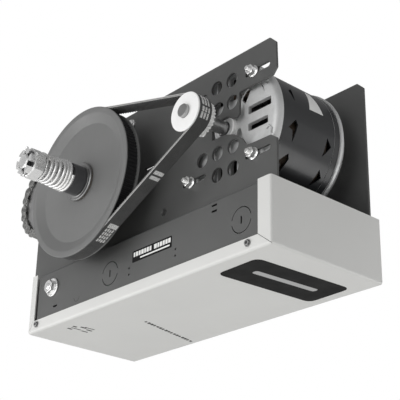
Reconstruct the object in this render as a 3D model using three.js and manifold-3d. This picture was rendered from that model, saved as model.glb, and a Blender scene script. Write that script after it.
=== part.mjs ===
// Belt-and-chain door operator: an electric motor drives a large clutch pulley by a toothed belt,
// and a roller chain takes the drive from the clutch shaft to the output shaft.
// Millimetres. +X runs along the control box, +Y from the belt side to the back, +Z up.
// The origin is the centre of the cover's underside.
import * as THREE from 'three';
import { mergeVertices } from 'three/addons/utils/BufferGeometryUtils.js';
import Module from 'manifold-3d';

// ---------------------------------------------------------------- driving dimensions
const GAP = 0.3; // running and assembly gap between neighbouring pieces

const COVER = { length: 450, width: 180, height: 80, sheet: 1.5, lip: 16, leftLip: 13, rightLip: 20 };
const BOX = { left: -210, right: 222.5, front: -88.2, back: 88.2, bottom: 2, top: 78, sheet: 1.5 };
const PLATE = {
  front: -76, back: 78, thickness: 3, bottom: BOX.top + GAP, top: 262, left: -240, right: 220.5,
};
const PLATE_CHAMFER = 9;
const FLANGE_DEPTH = 15;

const MOTOR = { x: 131.5, z: 175.5, shaftRadius: 8, radius: 83, shellRadius: 80.5, boltOffset: 53 };
const CLUTCH = { x: -72, z: 157.5 };
const OUTPUT = { x: -190.45, z: 182 };
const LIMIT = { x: -165, z: 38 };
const SHAFT_RADIUS = 12.7;
const SHAFT_BORE = SHAFT_RADIUS + GAP;

const BELT = {
  pitch: 5, smallTeeth: 28, bigTeeth: 120, front: -131, back: -112.8, thickness: 3, belowPitch: 1.3,
};
const CHAIN = { pitch: 12.7, pinionTeeth: 12, drivenTeeth: 25, y: -97, bandWidth: 14, toothWidth: 7.2 };
const LIMIT_CHAIN = { pitch: 6.35, teeth: 20, y: 50, bandWidth: 6, toothWidth: 2.8 };

const beltRadius = (teeth) => (teeth * BELT.pitch) / (2 * Math.PI);
const pitchRadius = (pitch, teeth) => pitch / (2 * Math.sin(Math.PI / teeth));
const tipRadius = (pitch, teeth) => (pitch * (0.6 + 1 / Math.tan(Math.PI / teeth))) / 2;

// ---------------------------------------------------------------- solid helpers
const wasm = await Module();
wasm.setup();

function toSolid(geometry) {
  const bare = geometry.clone();
  bare.deleteAttribute('normal');
  bare.deleteAttribute('uv');
  const merged = mergeVertices(bare, 1e-4);
  return new wasm.Manifold(new wasm.Mesh({
    numProp: 3,
    vertProperties: new Float32Array(merged.attributes.position.array),
    triVerts: new Uint32Array(merged.index.array),
  }));
}

function toGeometry(solid) {
  const mesh = solid.getMesh();
  const geometry = new THREE.BufferGeometry();
  geometry.setAttribute('position', new THREE.BufferAttribute(new Float32Array(mesh.vertProperties), 3));
  geometry.setIndex(new THREE.BufferAttribute(new Uint32Array(mesh.triVerts), 1));
  geometry.computeVertexNormals();
  return geometry;
}

const join = (...geometries) => toGeometry(geometries.map(toSolid).reduce((sum, next) => sum.add(next)));

function cut(geometry, ...tools) {
  return toGeometry(tools.map(toSolid).reduce((rest, tool) => rest.subtract(tool), toSolid(geometry)));
}

function block(x, y, z) {
  const geometry = new THREE.BoxGeometry(x[1] - x[0], y[1] - y[0], z[1] - z[0]);
  return geometry.translate((x[0] + x[1]) / 2, (y[0] + y[1]) / 2, (z[0] + z[1]) / 2);
}

// A round bar along Y at (x, z) from y0 to y1.
function barY(x, z, radius, y0, y1, segments = 20) {
  return new THREE.CylinderGeometry(radius, radius, y1 - y0, segments).translate(x, (y0 + y1) / 2, z);
}

function barX(y, z, radius, x0, x1, segments = 20) {
  const bar = new THREE.CylinderGeometry(radius, radius, x1 - x0, segments).rotateZ(Math.PI / 2);
  return bar.translate((x0 + x1) / 2, y, z);
}

function barZ(x, y, radius, z0, z1, segments = 20) {
  const bar = new THREE.CylinderGeometry(radius, radius, z1 - z0, segments).rotateX(Math.PI / 2);
  return bar.translate(x, y, (z0 + z1) / 2);
}

// A turned part about the Y axis from a closed loop of [radius, y] points.
function turned(profile, segments = 24) {
  const points = [...profile, profile[0]].map(([r, y]) => new THREE.Vector2(r, y));
  const geometry = new THREE.LatheGeometry(points, segments);
  const solid = toSolid(geometry);
  return solid.volume() > 0 ? toGeometry(solid) : turned([...profile].reverse(), segments);
}

const ring = (inner, outer, y0, y1, segments = 24) =>
  turned([[inner, y0], [outer, y0], [outer, y1], [inner, y1]], segments);

// A flat outline in the XZ plane, thickened from y0 to y1.
function profileY(shape, y0, y1) {
  const geometry = new THREE.ExtrudeGeometry(shape, { depth: y1 - y0, bevelEnabled: false });
  return geometry.rotateX(Math.PI / 2).translate(0, y1, 0);
}

const outline = (points) => new THREE.Shape(points.map(([x, z]) => new THREE.Vector2(x, z)));

// A straight slot with round ends, along X, centred at (x, z).
function slotX(x, z, length, height, y0, y1) {
  const half = (length - height) / 2;
  const middle = block([x - half, x + half], [y0, y1], [z - height / 2, z + height / 2]);
  const ends = [-half, half].map((dx) => barY(x + dx, z, height / 2, y0, y1, 8));
  return join(middle, ...ends);
}

const ARC_STEP = 0.14; // radians per facet where a belt or chain bends round a wheel

// The loop that a belt or chain follows round two wheels, at radius r1 and r2.
function loopPath(path, a, b, r1, r2) {
  const dx = b.x - a.x;
  const dz = b.z - a.z;
  const heading = Math.atan2(dz, dx);
  const lean = Math.acos((r1 - r2) / Math.hypot(dx, dz));
  const arc = (centre, radius, from, to) => {
    const steps = Math.ceil((to - from) / ARC_STEP);
    return Array.from({ length: steps + 1 }, (_, i) => {
      const angle = from + ((to - from) * i) / steps;
      return new THREE.Vector2(centre.x + radius * Math.cos(angle), centre.z + radius * Math.sin(angle));
    });
  };
  return path.setFromPoints([
    ...arc(a, r1, heading + lean, heading + 2 * Math.PI - lean),
    ...arc(b, r2, heading - lean, heading + lean),
  ]);
}

function loopBand(a, b, inner1, inner2, thickness, [y0, y1]) {
  const shape = loopPath(new THREE.Shape(), a, b, inner1 + thickness, inner2 + thickness);
  shape.holes.push(loopPath(new THREE.Path(), a, b, inner1, inner2));
  return profileY(shape, y0, y1);
}

// A chain sprocket or toothed wheel: a disc with trapezoid teeth, bored for its shaft.
function toothedDisc(teeth, root, tip, bore, y0, y1, land = 0.22) {
  const step = (2 * Math.PI) / teeth;
  const corners = [[-0.5 + land, root], [-land / 1.6, tip], [land / 1.6, tip], [0.5 - land, root]];
  const points = [];
  for (let i = 0; i < teeth; i += 1) {
    for (const [part, radius] of corners) {
      const angle = (i + part) * step;
      points.push([radius * Math.cos(angle), radius * Math.sin(angle)]);
    }
  }
  return cut(profileY(outline(points), y0, y1), barY(0, 0, bore, y0 - 1, y1 + 1, 24));
}

// ---------------------------------------------------------------- materials and scene graph
const PAINTS = {
  frame_paint: [0x4b4c4d, 0.55, 0.2],
  cover_paint: [0xdcdcd8, 0.5, 0.1],
  pulley_paint: [0x7d7f80, 0.5, 0.3],
  motor_paint: [0x26282a, 0.4, 0.2],
  cast_aluminium: [0xb9bbbc, 0.45, 0.85],
  zinc: [0xcfd2d4, 0.3, 0.95],
  steel: [0x9a9c9e, 0.35, 0.95],
  bright_alloy: [0xe6e7e8, 0.3, 0.9],
  black_oxide: [0x1d1e20, 0.4, 0.7],
  lining: [0x6d5b47, 0.9, 0.0],
  belt_rubber: [0x3a3b3b, 0.8, 0.0],
  chain_steel: [0x55534f, 0.4, 0.9],
  laminations: [0x6a6c70, 0.5, 0.8],
  copper: [0xa8602f, 0.4, 0.9],
  board: [0x1f5a38, 0.5, 0.1],
  black_plastic: [0x1b1b1c, 0.5, 0.0],
  grey_plastic: [0x8d9093, 0.55, 0.0],
};

const operator = new THREE.Group();

function assembly(x = 0, z = 0, parent = operator) {
  const group = new THREE.Group();
  group.position.set(x, 0, z);
  parent.add(group);
  return group;
}

function piece(group, name, geometry, paint) {
  const [color, roughness, metalness] = PAINTS[paint];
  const mesh = new THREE.Mesh(geometry, new THREE.MeshStandardMaterial({ color, roughness, metalness }));
  mesh.name = name;
  group.add(mesh);
  return mesh;
}

// ---------------------------------------------------------------- cover and control box
const SCREWS = { x: [-205, 190], z: 10, hole: 2.3, shank: 1.9, head: 4.3 };
const HALF = { x: COVER.length / 2, y: COVER.width / 2 };

function makeCover() {
  const t = COVER.sheet;
  const windowX = [-HALF.x + COVER.leftLip, HALF.x - COVER.rightLip];
  const windowZ = [COVER.lip, COVER.height + 1];
  const shell = block([-HALF.x, HALF.x], [-HALF.y, HALF.y], [0, COVER.height]);
  const hollow = block([t - HALF.x, HALF.x - t], [t - HALF.y, HALF.y - t], [t, COVER.height + 1]);
  const windows = [-HALF.y, HALF.y].map((y) => block(windowX, [y - t - 1, y + t + 1], windowZ));
  const holes = SCREWS.x.map((x) => barY(x, SCREWS.z, SCREWS.hole, -HALF.y - 1, HALF.y + 1, 8));
  return cut(shell, hollow, ...windows, ...holes);
}

const BOLT = { x: -176.3, z: 54, hole: 5.3 };
const KNOCKOUTS = [[-53.5, 41], [178, 41]];
const KNOCKOUT_RADIUS = 15.5;
const LIMIT_SLOT = { x: [-203, -143], y: [44, 56] };

// A knockout is a ring groove cut through the sheet, left joined by two webs, with a pry slot.
function knockout(x, z) {
  const groove = ring(KNOCKOUT_RADIUS - 0.9, KNOCKOUT_RADIUS, BOX.front - 1, BOX.front + BOX.sheet + 1, 18);
  const webs = block([-20, 20], [BOX.front - 2, BOX.front + 4], [-1.6, 1.6]);
  const pry = block([-1.1, 1.1], [BOX.front - 1, BOX.front + BOX.sheet + 1], [-4.5, 4.5]);
  return join(cut(groove, webs), pry).translate(x, 0, z);
}

function makeControlBox() {
  const t = BOX.sheet;
  const shell = block([BOX.left, BOX.right], [BOX.front, BOX.back], [BOX.bottom, BOX.top]);
  const hollow = block(
    [BOX.left + t, BOX.right - t], [BOX.front + t, BOX.back - t], [BOX.bottom - 1, BOX.top - t],
  );
  const wall = [BOX.front - 1, BOX.front + t + 1];
  const pinholes = [[-15.5, 37.5], [-15.5, 29.5], [69.3, 38], [69.3, 30]];
  const narrowSlots = [[134.5, 72], [134.5, 65], [-168, 27]];
  const tools = [
    hollow,
    ...SCREWS.x.map((x) => barY(x, SCREWS.z, SCREWS.hole, BOX.front - 1, BOX.back + 1, 8)),
    ...KNOCKOUTS.map(([x, z]) => knockout(x, z)),
    ...pinholes.map(([x, z]) => barY(x, z, 1.4, ...wall, 6)),
    ...narrowSlots.map(([x, z]) => block([x - 4.5, x + 4.5], wall, [z - 1.3, z + 1.3])),
    barY(BOLT.x, BOLT.z, BOLT.hole, ...wall, 12),
    block(LIMIT_SLOT.x, LIMIT_SLOT.y, [BOX.top - t - 1, BOX.top + 1]),
    barZ(20, 0, 11, BOX.top - t - 1, BOX.top + 1, 12),
  ];
  return cut(shell, ...tools);
}

function coverScrew() {
  const seat = -HALF.y - GAP;
  return turned([[0, seat - 2.6], [2.4, seat - 2.6], [SCREWS.head, seat - 1], [SCREWS.head, seat],
    [SCREWS.shank, seat], [SCREWS.shank, seat + 6], [0, seat + 6]], 10);
}

piece(operator, 'bottom_cover', makeCover(), 'cover_paint');
piece(operator, 'control_box', makeControlBox(), 'frame_paint');
piece(assembly(SCREWS.x[0], SCREWS.z), 'cover_screw_left', coverScrew(), 'zinc');
piece(assembly(SCREWS.x[1], SCREWS.z), 'cover_screw_right', coverScrew(), 'zinc');

// Hex bolt with a washer face that earths the control box.
piece(assembly(BOLT.x, BOLT.z), 'box_bolt', join(
  barY(0, 0, 12.5, BOX.front - GAP - 1.8, BOX.front - GAP, 20),
  barY(0, 0, 9.2, BOX.front - 8.2, BOX.front - 2, 6),
  barY(0, 0, 5, BOX.front - 2, BOX.front + 12, 12),
), 'zinc');

// ---------------------------------------------------------------- frame plates
const MOTOR_SLOT = { length: 40, height: 7, offset: 6.5 };
const HOLE_GRID = { radius: 9.2, x: [98.5, 124.8, 151], z: [116.7, 144.7, 202.8, 232.5] };
const TIE_RODS = { upper: [-41, 247], lower: [31.4, 99.6] };
const MOTOR_CORNERS = [
  ['lower_left', -1, -1], ['lower_right', 1, -1], ['upper_right', 1, 1], ['upper_left', -1, 1],
];

// The belt-side plate is open on the right round the motor's end, with a slot for its shaft.
function nearPlateOutline() {
  const right = PLATE.right;
  const slotLeft = 115;
  return outline([
    [-221, PLATE.bottom], [right, PLATE.bottom], [right, 130], [211.5, 136.5], [182.5, 137],
    [172, 138.5], [165.5, 149.5], [153, 158.8], [141, 163], [136, 164.5], [slotLeft, 164.5],
    [slotLeft, 186.5], [141, 186.5], [148, 181.5], [156, 180], [161, 183], [161, 211.3],
    [214.5, 211.5], [right + 1, 219.5], [right, PLATE.top - PLATE_CHAMFER],
    [right - PLATE_CHAMFER, PLATE.top], [-190, PLATE.top], [-233, 222], [-233, 150],
    [PLATE.left, 144], [PLATE.left, 81], [-221, 81],
  ]);
}

function farPlateOutline() {
  const right = PLATE.right + 0.5;
  return outline([
    [-221, PLATE.bottom], [right, PLATE.bottom], [right, PLATE.top - PLATE_CHAMFER],
    [right - PLATE_CHAMFER, PLATE.top], [-190, PLATE.top], [-233, 222], [-233, 150], [PLATE.left, 144],
    [PLATE.left, 81], [-221, 81],
  ]);
}

function shaftHoles(y) {
  const holes = [CLUTCH, OUTPUT].map(({ x, z }) => barY(x, z, SHAFT_RADIUS + 1.5, ...y, 16));
  return [...holes, ...Object.values(TIE_RODS).map(([x, z]) => barY(x, z, 4.5, ...y, 8))];
}

function makeNearPlate() {
  const y = [PLATE.front, PLATE.front + PLATE.thickness];
  const through = [y[0] - 1, y[1] + 1];
  const foot = block([-200, 205], [y[0] + 1, y[1] + FLANGE_DEPTH], [PLATE.bottom, PLATE.bottom + 3]);
  const slots = MOTOR_CORNERS.map(([, sx, sz]) => slotX(
    MOTOR.x + sx * MOTOR.boltOffset + MOTOR_SLOT.offset, MOTOR.z + sz * MOTOR.boltOffset,
    MOTOR_SLOT.length, MOTOR_SLOT.height, ...through,
  ));
  const [x1, x2, x3] = HOLE_GRID.x;
  const [z1, z2, z3, z4] = HOLE_GRID.z;
  const spots = [
    [x2, z1], [x3, z1], [x1, z2], [x2, z2], [x3, z2], [x2, z3], [x3 - 2, z3], [x2 - 3, z4], [x3 - 3, z4],
  ];
  const holes = spots.map(([x, z]) => barY(x, z, HOLE_GRID.radius, ...through, 16));
  const idlerSlot = block([-9, 22], through, [168.5, 171.5]);
  const plate = join(profileY(nearPlateOutline(), ...y), foot);
  return cut(plate, ...slots, ...holes, idlerSlot, ...shaftHoles(through));
}

function makeFarPlate() {
  const y = [PLATE.back - PLATE.thickness, PLATE.back];
  const through = [y[0] - 1, y[1] + 1];
  const foot = block([-200, 205], [y[0] - FLANGE_DEPTH, y[1] - 1], [PLATE.bottom, PLATE.bottom + 3]);
  const hangers = [-150, -90, 20, 90].map((x) => barY(x, 235, 5.5, ...through, 10));
  const vent = barY(MOTOR.x, MOTOR.z, 30, ...through, 20);
  return cut(join(profileY(farPlateOutline(), ...y), foot), ...hangers, vent, ...shaftHoles(through));
}

// A spacer bar between the plates: a screwed head in front, and a back end flush with the far plate.
function tieRod() {
  const inside = [PLATE.front + PLATE.thickness + GAP, PLATE.back - PLATE.thickness - GAP];
  const seat = PLATE.front - GAP;
  return turned([[0, seat - 4], [4.5, seat - 4], [6.5, seat - 2.5], [6.5, seat], [4, seat], [4, inside[0]],
    [7, inside[0]], [7, inside[1]], [4, inside[1]], [4, PLATE.back - GAP], [0, PLATE.back - GAP]], 10);
}

piece(operator, 'near_plate', makeNearPlate(), 'frame_paint');
piece(operator, 'far_plate', makeFarPlate(), 'frame_paint');
piece(assembly(...TIE_RODS.upper), 'tie_rod_upper', tieRod(), 'zinc');
piece(assembly(...TIE_RODS.lower), 'tie_rod_lower', tieRod(), 'black_oxide');

// ---------------------------------------------------------------- motor
const motor = assembly(MOTOR.x, MOTOR.z);
const BELL = { boss: -72, face: -67, rimBack: -57.6, wall: 5 };
const REAR = { front: 30, rim: 39, back: 54, registerRadius: 80.8 };

// Front end bell: a cast cover with window pairs round the hub and a pad behind each corner slot.
function makeFrontBell() {
  const body = turned([[9.5, BELL.boss], [14.5, BELL.boss], [16, BELL.face - 1],
    [76, BELL.face], [MOTOR.radius, BELL.face + 5], [MOTOR.radius, BELL.rimBack], [79, BELL.rimBack],
    [76, BELL.face + BELL.wall], [22, BELL.face + BELL.wall], [22, -53], [18, -53],
    [18, -63.2], [9.5, -63.2]], 28);
  const padY = [PLATE.front + PLATE.thickness + GAP, BELL.face + 2];
  const reach = MOTOR.boltOffset;
  const pads = MOTOR_CORNERS.map(([, sx, sz]) => barY(sx * reach, sz * reach, 9, ...padY, 12));
  const windows = [];
  for (const quarter of [0, 1, 2, 3]) {
    for (const [low, high, end] of [[7, 17, 70], [-15, -6, 66]]) {
      const cutter = block([36, end], [BELL.face - 4, BELL.face + 8], [low, high]);
      windows.push(cutter.rotateY((quarter * Math.PI) / 2));
    }
  }
  return cut(join(body, ...pads), ...windows);
}

// Rolled steel shell with two rows of wide pointed cooling openings.
function makeMotorShell() {
  const shell = ring(78.5, MOTOR.shellRadius, BELL.rimBack + GAP, REAR.front - GAP, 28);
  const vents = [];
  for (const [y, turn] of [[-39, 1.81], [19, 1.84]]) {
    for (let i = 0; i < 9; i += 1) {
      const leaf = outline([[-11, 3], [-2, 5.5], [12, -3.5], [5, -6]]);
      const vent = new THREE.ExtrudeGeometry(leaf, { depth: 12, bevelEnabled: false });
      vents.push(vent.translate(0, y, 73).rotateY(turn + (i * Math.PI * 2) / 9));
    }
  }
  return cut(shell, ...vents);
}

function makeRearBell() {
  const body = turned([[79, REAR.front], [REAR.registerRadius, REAR.front],
    [REAR.registerRadius, REAR.rim], [MOTOR.radius, REAR.rim + 0.4], [MOTOR.radius, REAR.front + 14],
    [74, REAR.back], [9.5, REAR.back], [9.5, 48], [18, 48], [18, 39], [22, 39],
    [22, REAR.back - 3.5], [72, REAR.back - 3.5], [79, REAR.front + 12]], 28);
  const vents = [];
  for (let i = 0; i < 8; i += 1) {
    vents.push(block([36, 62], [REAR.back - 8, REAR.back + 2], [-4, 4]).rotateY((i * Math.PI) / 4));
  }
  return cut(body, ...vents);
}

// Flange nut on its stud: it clamps the motor through a corner slot of the plate.
function flangeNut() {
  const seat = PLATE.front - GAP;
  return join(
    turned([[0, seat - 2], [5.5, seat - 2], [7.4, seat - 0.8], [7.4, seat], [0, seat]], 12),
    barY(0, 0, 6.4, seat - 7.5, seat - 1, 6),
    barY(0, 0, 3.1, seat - 12, PLATE.front + PLATE.thickness - 0.2, 8),
  );
}

piece(motor, 'motor_front_bell', makeFrontBell(), 'cast_aluminium');
piece(motor, 'motor_shell', makeMotorShell(), 'motor_paint');
piece(motor, 'motor_rear_bell', makeRearBell(), 'cast_aluminium');
piece(motor, 'stator_core', ring(47, 78, -22, 12), 'laminations');
const WINDINGS = {
  front: [[52, -22.3], [52, -38], [60, -44], [72, -38], [74, -22.3]],
  rear: [[52, 12.3], [74, 12.3], [72, 22], [60, 25], [52, 22]],
};
for (const [end, profile] of Object.entries(WINDINGS)) {
  piece(motor, `stator_winding_${end}`, turned(profile, 20), 'copper');
}
piece(motor, 'motor_bearing_front', ring(MOTOR.shaftRadius + GAP, 17.7, -62.9, -53.3, 20), 'steel');
piece(motor, 'motor_bearing_rear', ring(MOTOR.shaftRadius + GAP, 17.7, 39.2, 47.7, 20), 'steel');
for (const [corner, sx, sz] of MOTOR_CORNERS) {
  const spot = assembly(sx * MOTOR.boltOffset, sz * MOTOR.boltOffset, motor);
  piece(spot, `motor_nut_${corner}`, flangeNut(), 'zinc');
}

// Rotor assembly: shaft, laminated core, cooling fan and the toothed belt pulley.
function makeFan() {
  const bore = MOTOR.shaftRadius + GAP;
  const plate = turned([[bore, 28], [54, 29], [54, 30.5], [14, 30.5], [14, 37], [bore, 37]], 16);
  const blades = [];
  for (let i = 0; i < 6; i += 1) {
    blades.push(block([13, 53], [30, 37], [-1, 1]).rotateY((i * Math.PI) / 3));
  }
  return join(plate, ...blades);
}

// Front flange, toothed belt track and hub; the track is turned to the tooth tips.
function makeMotorPulley() {
  const track = beltRadius(BELT.smallTeeth) - BELT.belowPitch - GAP;
  const bore = MOTOR.shaftRadius + GAP;
  return turned([[bore, -133.2], [23, -133.2], [24, -132.6], [24, BELT.front - GAP],
    [track, BELT.front - GAP], [track, -104], [10.5, -104], [10.5, -97], [bore, -97]]);
}

piece(motor, 'motor_shaft', barY(0, 0, MOTOR.shaftRadius, -137.5, 50, 20), 'steel');
piece(motor, 'rotor_core', ring(MOTOR.shaftRadius + GAP, 46.4, -22, 12), 'laminations');
piece(motor, 'motor_fan', makeFan(), 'black_plastic');
piece(motor, 'motor_pulley', makeMotorPulley(), 'bright_alloy');

// ---------------------------------------------------------------- clutch pulley and its shaft
const clutch = assembly(CLUTCH.x, CLUTCH.z);
const RIM = { front: -133, groove: BELT.front - GAP, back: BELT.back + GAP, radius: 99, backRadius: 97 };
const STACK = {
  face: -127, hub: -110, shaftFront: -214.5, nutFront: -213, springFront: -189, springBack: -149.6,
};
const THREAD_RADIUS = 9.5;
const COTTER_Y = -210;

function makeDrivenPulley() {
  const bed = beltRadius(BELT.bigTeeth) - BELT.belowPitch - GAP;
  return turned([[SHAFT_BORE, STACK.face], [79, STACK.face], [91, RIM.front + 0.4], [RIM.radius, RIM.front],
    [RIM.radius, RIM.groove], [bed, RIM.groove], [bed, RIM.back],
    [RIM.backRadius, RIM.back], [RIM.backRadius, RIM.back + 2], [88, RIM.back + 2], [88, -120.5],
    [27, -120.5], [27, STACK.hub], [SHAFT_BORE, STACK.hub]], 36);
}

const SPRING = { wire: 2.4, frontRadius: 15.8, backRadius: 18.2, turns: 6 };

// The spring's centre line widens from the nut to the collar.
class SpringCurve extends THREE.Curve {
  getPoint(t, target = new THREE.Vector3()) {
    const angle = t * SPRING.turns * 2 * Math.PI;
    const radius = THREE.MathUtils.lerp(SPRING.frontRadius, SPRING.backRadius, t);
    const y = THREE.MathUtils.lerp(STACK.springFront + SPRING.wire, STACK.springBack - SPRING.wire, t);
    return target.set(radius * Math.cos(angle), y, radius * Math.sin(angle));
  }
}

function makeSpring() {
  const section = new THREE.Shape();
  section.absarc(0, 0, SPRING.wire, 0, 2 * Math.PI);
  return new THREE.ExtrudeGeometry(section, { steps: 66, curveSegments: 3, extrudePath: new SpringCurve() });
}

// Hexagon nut with a slotted crown; the cotter pin goes through the upright slot.
function makeCastleNut() {
  const crownTop = STACK.nutFront;
  const seat = STACK.springFront - 2.6;
  const body = join(barY(0, 0, 19.6, -206, seat, 6), barY(0, 0, 16.4, crownTop, -205.9, 18));
  const slot = block([-25, 25], [crownTop - 1, -207], [-2, 2]);
  const slots = [1, 3, 5].map((i) => slot.clone().rotateY((i * Math.PI) / 6));
  return cut(body, barY(0, 0, THREAD_RADIUS + GAP, crownTop - 1, seat + 1, 20), ...slots);
}

function makeCotterPin() {
  const eye = new THREE.TorusGeometry(2.2, 1.1, 5, 8).rotateX(Math.PI / 2).translate(0, COTTER_Y, 19.6);
  const tail = barY(0, -18.6, 1.4, COTTER_Y - 5, COTTER_Y, 8);
  return join(barZ(0, COTTER_Y, 1.5, -19.4, 18, 8), eye, tail);
}

// The front end is turned down to a thread for the nut.
function makeClutchShaft() {
  const shoulder = STACK.springFront + 2;
  const bar = turned([[0, STACK.shaftFront], [8.2, STACK.shaftFront],
    [THREAD_RADIUS, STACK.shaftFront + 1.3], [THREAD_RADIUS, shoulder], [SHAFT_RADIUS, shoulder],
    [SHAFT_RADIUS, 82], [0, 82]]);
  return cut(bar, barZ(0, COTTER_Y, 1.8, -20, 20, 8));
}

const discs = {
  clutch_friction_disc: [SHAFT_BORE, 24, -129, STACK.face - GAP, 'lining'],
  clutch_pressure_plate: [SHAFT_BORE, 25, -132, -129 - GAP, 'zinc'],
  clutch_collar: [SHAFT_BORE, 19, STACK.springBack + GAP, -132 - GAP, 'black_oxide'],
  spring_seat_washer: [THREAD_RADIUS + GAP, 18.6, STACK.springFront - 2.3, STACK.springFront - GAP, 'zinc'],
  clutch_back_disc: [SHAFT_BORE, 24, STACK.hub + GAP, -108, 'lining'],
  clutch_back_flange: [SHAFT_BORE, 25, -108 + GAP, -105.6, 'steel'],
};

piece(clutch, 'driven_pulley', makeDrivenPulley(), 'pulley_paint');
piece(clutch, 'clutch_shaft', makeClutchShaft(), 'steel');
for (const [name, [bore, radius, y0, y1, paint]] of Object.entries(discs)) {
  piece(clutch, name, ring(bore, radius, y0, y1, 20), paint);
}
piece(clutch, 'clutch_spring', makeSpring(), 'zinc');
piece(clutch, 'castle_nut', makeCastleNut(), 'zinc');
piece(clutch, 'cotter_pin', makeCotterPin(), 'zinc');

// ---------------------------------------------------------------- sprockets, chain and belt
function makeSprocket(pitch, teeth, y, width, bore, hubRadius, hubY) {
  const root = pitchRadius(pitch, teeth) - pitch * 0.31;
  const disc = toothedDisc(teeth, root, tipRadius(pitch, teeth), bore, y - width / 2, y + width / 2);
  return join(disc, ring(bore, hubRadius, ...hubY));
}

// The small limit sprockets are turned to their tooth tips, with a hub on the front side.
function makeLimitSprocket(bore, hubRadius) {
  const tip = tipRadius(LIMIT_CHAIN.pitch, LIMIT_CHAIN.teeth);
  const [front, back] = [-0.5, 0.5].map((side) => LIMIT_CHAIN.y + side * LIMIT_CHAIN.toothWidth);
  const profile = [[bore, 42], [hubRadius, 42], [hubRadius, front], [tip, front], [tip, back], [bore, back]];
  return turned(profile, 20);
}

piece(clutch, 'pinion_sprocket', makeSprocket(
  CHAIN.pitch, CHAIN.pinionTeeth, CHAIN.y, CHAIN.toothWidth, SHAFT_BORE, 18, [CHAIN.y, -89],
), 'steel');

const output = assembly(OUTPUT.x, OUTPUT.z);
const OUTPUT_SHAFT_FRONT = -112;
piece(output, 'driven_sprocket', makeSprocket(
  CHAIN.pitch, CHAIN.drivenTeeth, CHAIN.y, CHAIN.toothWidth, SHAFT_BORE, 21, [-108, -92],
), 'steel');
piece(output, 'output_shaft', turned([[0, OUTPUT_SHAFT_FRONT], [11.5, OUTPUT_SHAFT_FRONT],
  [SHAFT_RADIUS, OUTPUT_SHAFT_FRONT + 1.5], [SHAFT_RADIUS, 86.5], [11.5, 88], [0, 88]]), 'steel');
piece(output, 'door_drive_sprocket', makeSprocket(15.875, 12, -5, 9, SHAFT_BORE, 22, [-5, 12]), 'steel');
piece(output, 'limit_drive_sprocket', makeLimitSprocket(SHAFT_BORE, 17.5), 'steel');

function flangeBearing(mountY, direction) {
  const y = (distance) => mountY + direction * (distance + GAP);
  const flange = [[SHAFT_BORE, y(0)], [30, y(0)], [30, y(4)], [22, y(5)], [21, y(10)], [SHAFT_BORE, y(10)]];
  return turned(flange, 20);
}

const BEARING_SEATS = { near: [PLATE.front, -1], far: [PLATE.back - PLATE.thickness, -1] };
for (const [side, [mountY, direction]] of Object.entries(BEARING_SEATS)) {
  piece(clutch, `clutch_bearing_${side}`, flangeBearing(mountY, direction), 'cast_aluminium');
  piece(output, `output_bearing_${side}`, flangeBearing(mountY, direction), 'cast_aluminium');
}

piece(operator, 'drive_belt', loopBand(
  CLUTCH, MOTOR, beltRadius(BELT.bigTeeth) - BELT.belowPitch, beltRadius(BELT.smallTeeth) - BELT.belowPitch,
  BELT.thickness, [BELT.front, BELT.back],
), 'belt_rubber');
const chainTip = (teeth) => tipRadius(CHAIN.pitch, teeth) + GAP + 0.1;
piece(operator, 'drive_chain', loopBand(
  OUTPUT, CLUTCH, chainTip(CHAIN.drivenTeeth), chainTip(CHAIN.pinionTeeth), 2.6,
  [CHAIN.y - CHAIN.bandWidth / 2, CHAIN.y + CHAIN.bandWidth / 2],
), 'chain_steel');

// ---------------------------------------------------------------- limit gear inside the control box
const limitTip = tipRadius(LIMIT_CHAIN.pitch, LIMIT_CHAIN.teeth) + GAP;
const LIMIT_SHAFT_RADIUS = 4;
const LIMIT_BRACKET = { x: [-188, -142], y: [-50, 40], ear: 1.5, low: 26, top: BOX.top - BOX.sheet - GAP };
const limit = assembly(LIMIT.x, LIMIT.z);

piece(operator, 'limit_chain', loopBand(
  OUTPUT, LIMIT, limitTip, limitTip, 1.6,
  [LIMIT_CHAIN.y - LIMIT_CHAIN.bandWidth / 2, LIMIT_CHAIN.y + LIMIT_CHAIN.bandWidth / 2],
), 'chain_steel');
piece(limit, 'limit_shaft', barY(0, 0, LIMIT_SHAFT_RADIUS, -56, 56, 14), 'steel');
piece(limit, 'limit_sprocket', makeLimitSprocket(LIMIT_SHAFT_RADIUS + GAP, 9), 'steel');

function makeLimitBracket() {
  const { x, y, ear, low, top } = LIMIT_BRACKET;
  const roof = block(x, y, [top - ear, top]);
  const ears = y.map((end, i) => block(x, i ? [end - ear, end] : [end, end + ear], [low, top]));
  return cut(join(roof, ...ears), barY(LIMIT.x, LIMIT.z, LIMIT_SHAFT_RADIUS + GAP, y[0] - 1, y[1] + 1, 14));
}

piece(operator, 'limit_bracket', makeLimitBracket(), 'zinc');
for (const [name, y] of [['limit_nut_close', -12], ['limit_nut_open', 12]]) {
  const body = block([-11, 11], [y - 4, y + 4], [-11, 11]);
  piece(limit, name, cut(body, barY(0, 0, LIMIT_SHAFT_RADIUS + GAP, y - 5, y + 5, 14)), 'grey_plastic');
}
for (const [name, y] of [['limit_switch_close', -42], ['limit_switch_open', 30]]) {
  const roof = LIMIT_BRACKET.top - LIMIT_BRACKET.ear - LIMIT.z - GAP;
  const body = block([-14, 14], [y - 5, y + 5], [18.5, roof]);
  const button = barZ(0, y, 1.6, 15.5, 19, 6);
  piece(limit, name, join(body, button), 'black_plastic');
}

// ---------------------------------------------------------------- electrical parts in the control box
function makeLogicBoard() {
  const card = block([-70, 95], [-81, -79.4], [12, 68]);
  const tallParts = [[-60, -42, 20, 36, 16], [-36, -18, 20, 36, 16], [-10, 30, 18, 30, 10],
    [40, 60, 40, 62, 14], [66, 88, 16, 34, 12], [-60, -30, 46, 62, 9]];
  const parts = tallParts.map(([x0, x1, z0, z1, tall]) => block([x0, x1], [-79.5, -79.4 + tall], [z0, z1]));
  return join(card, ...parts);
}

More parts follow.
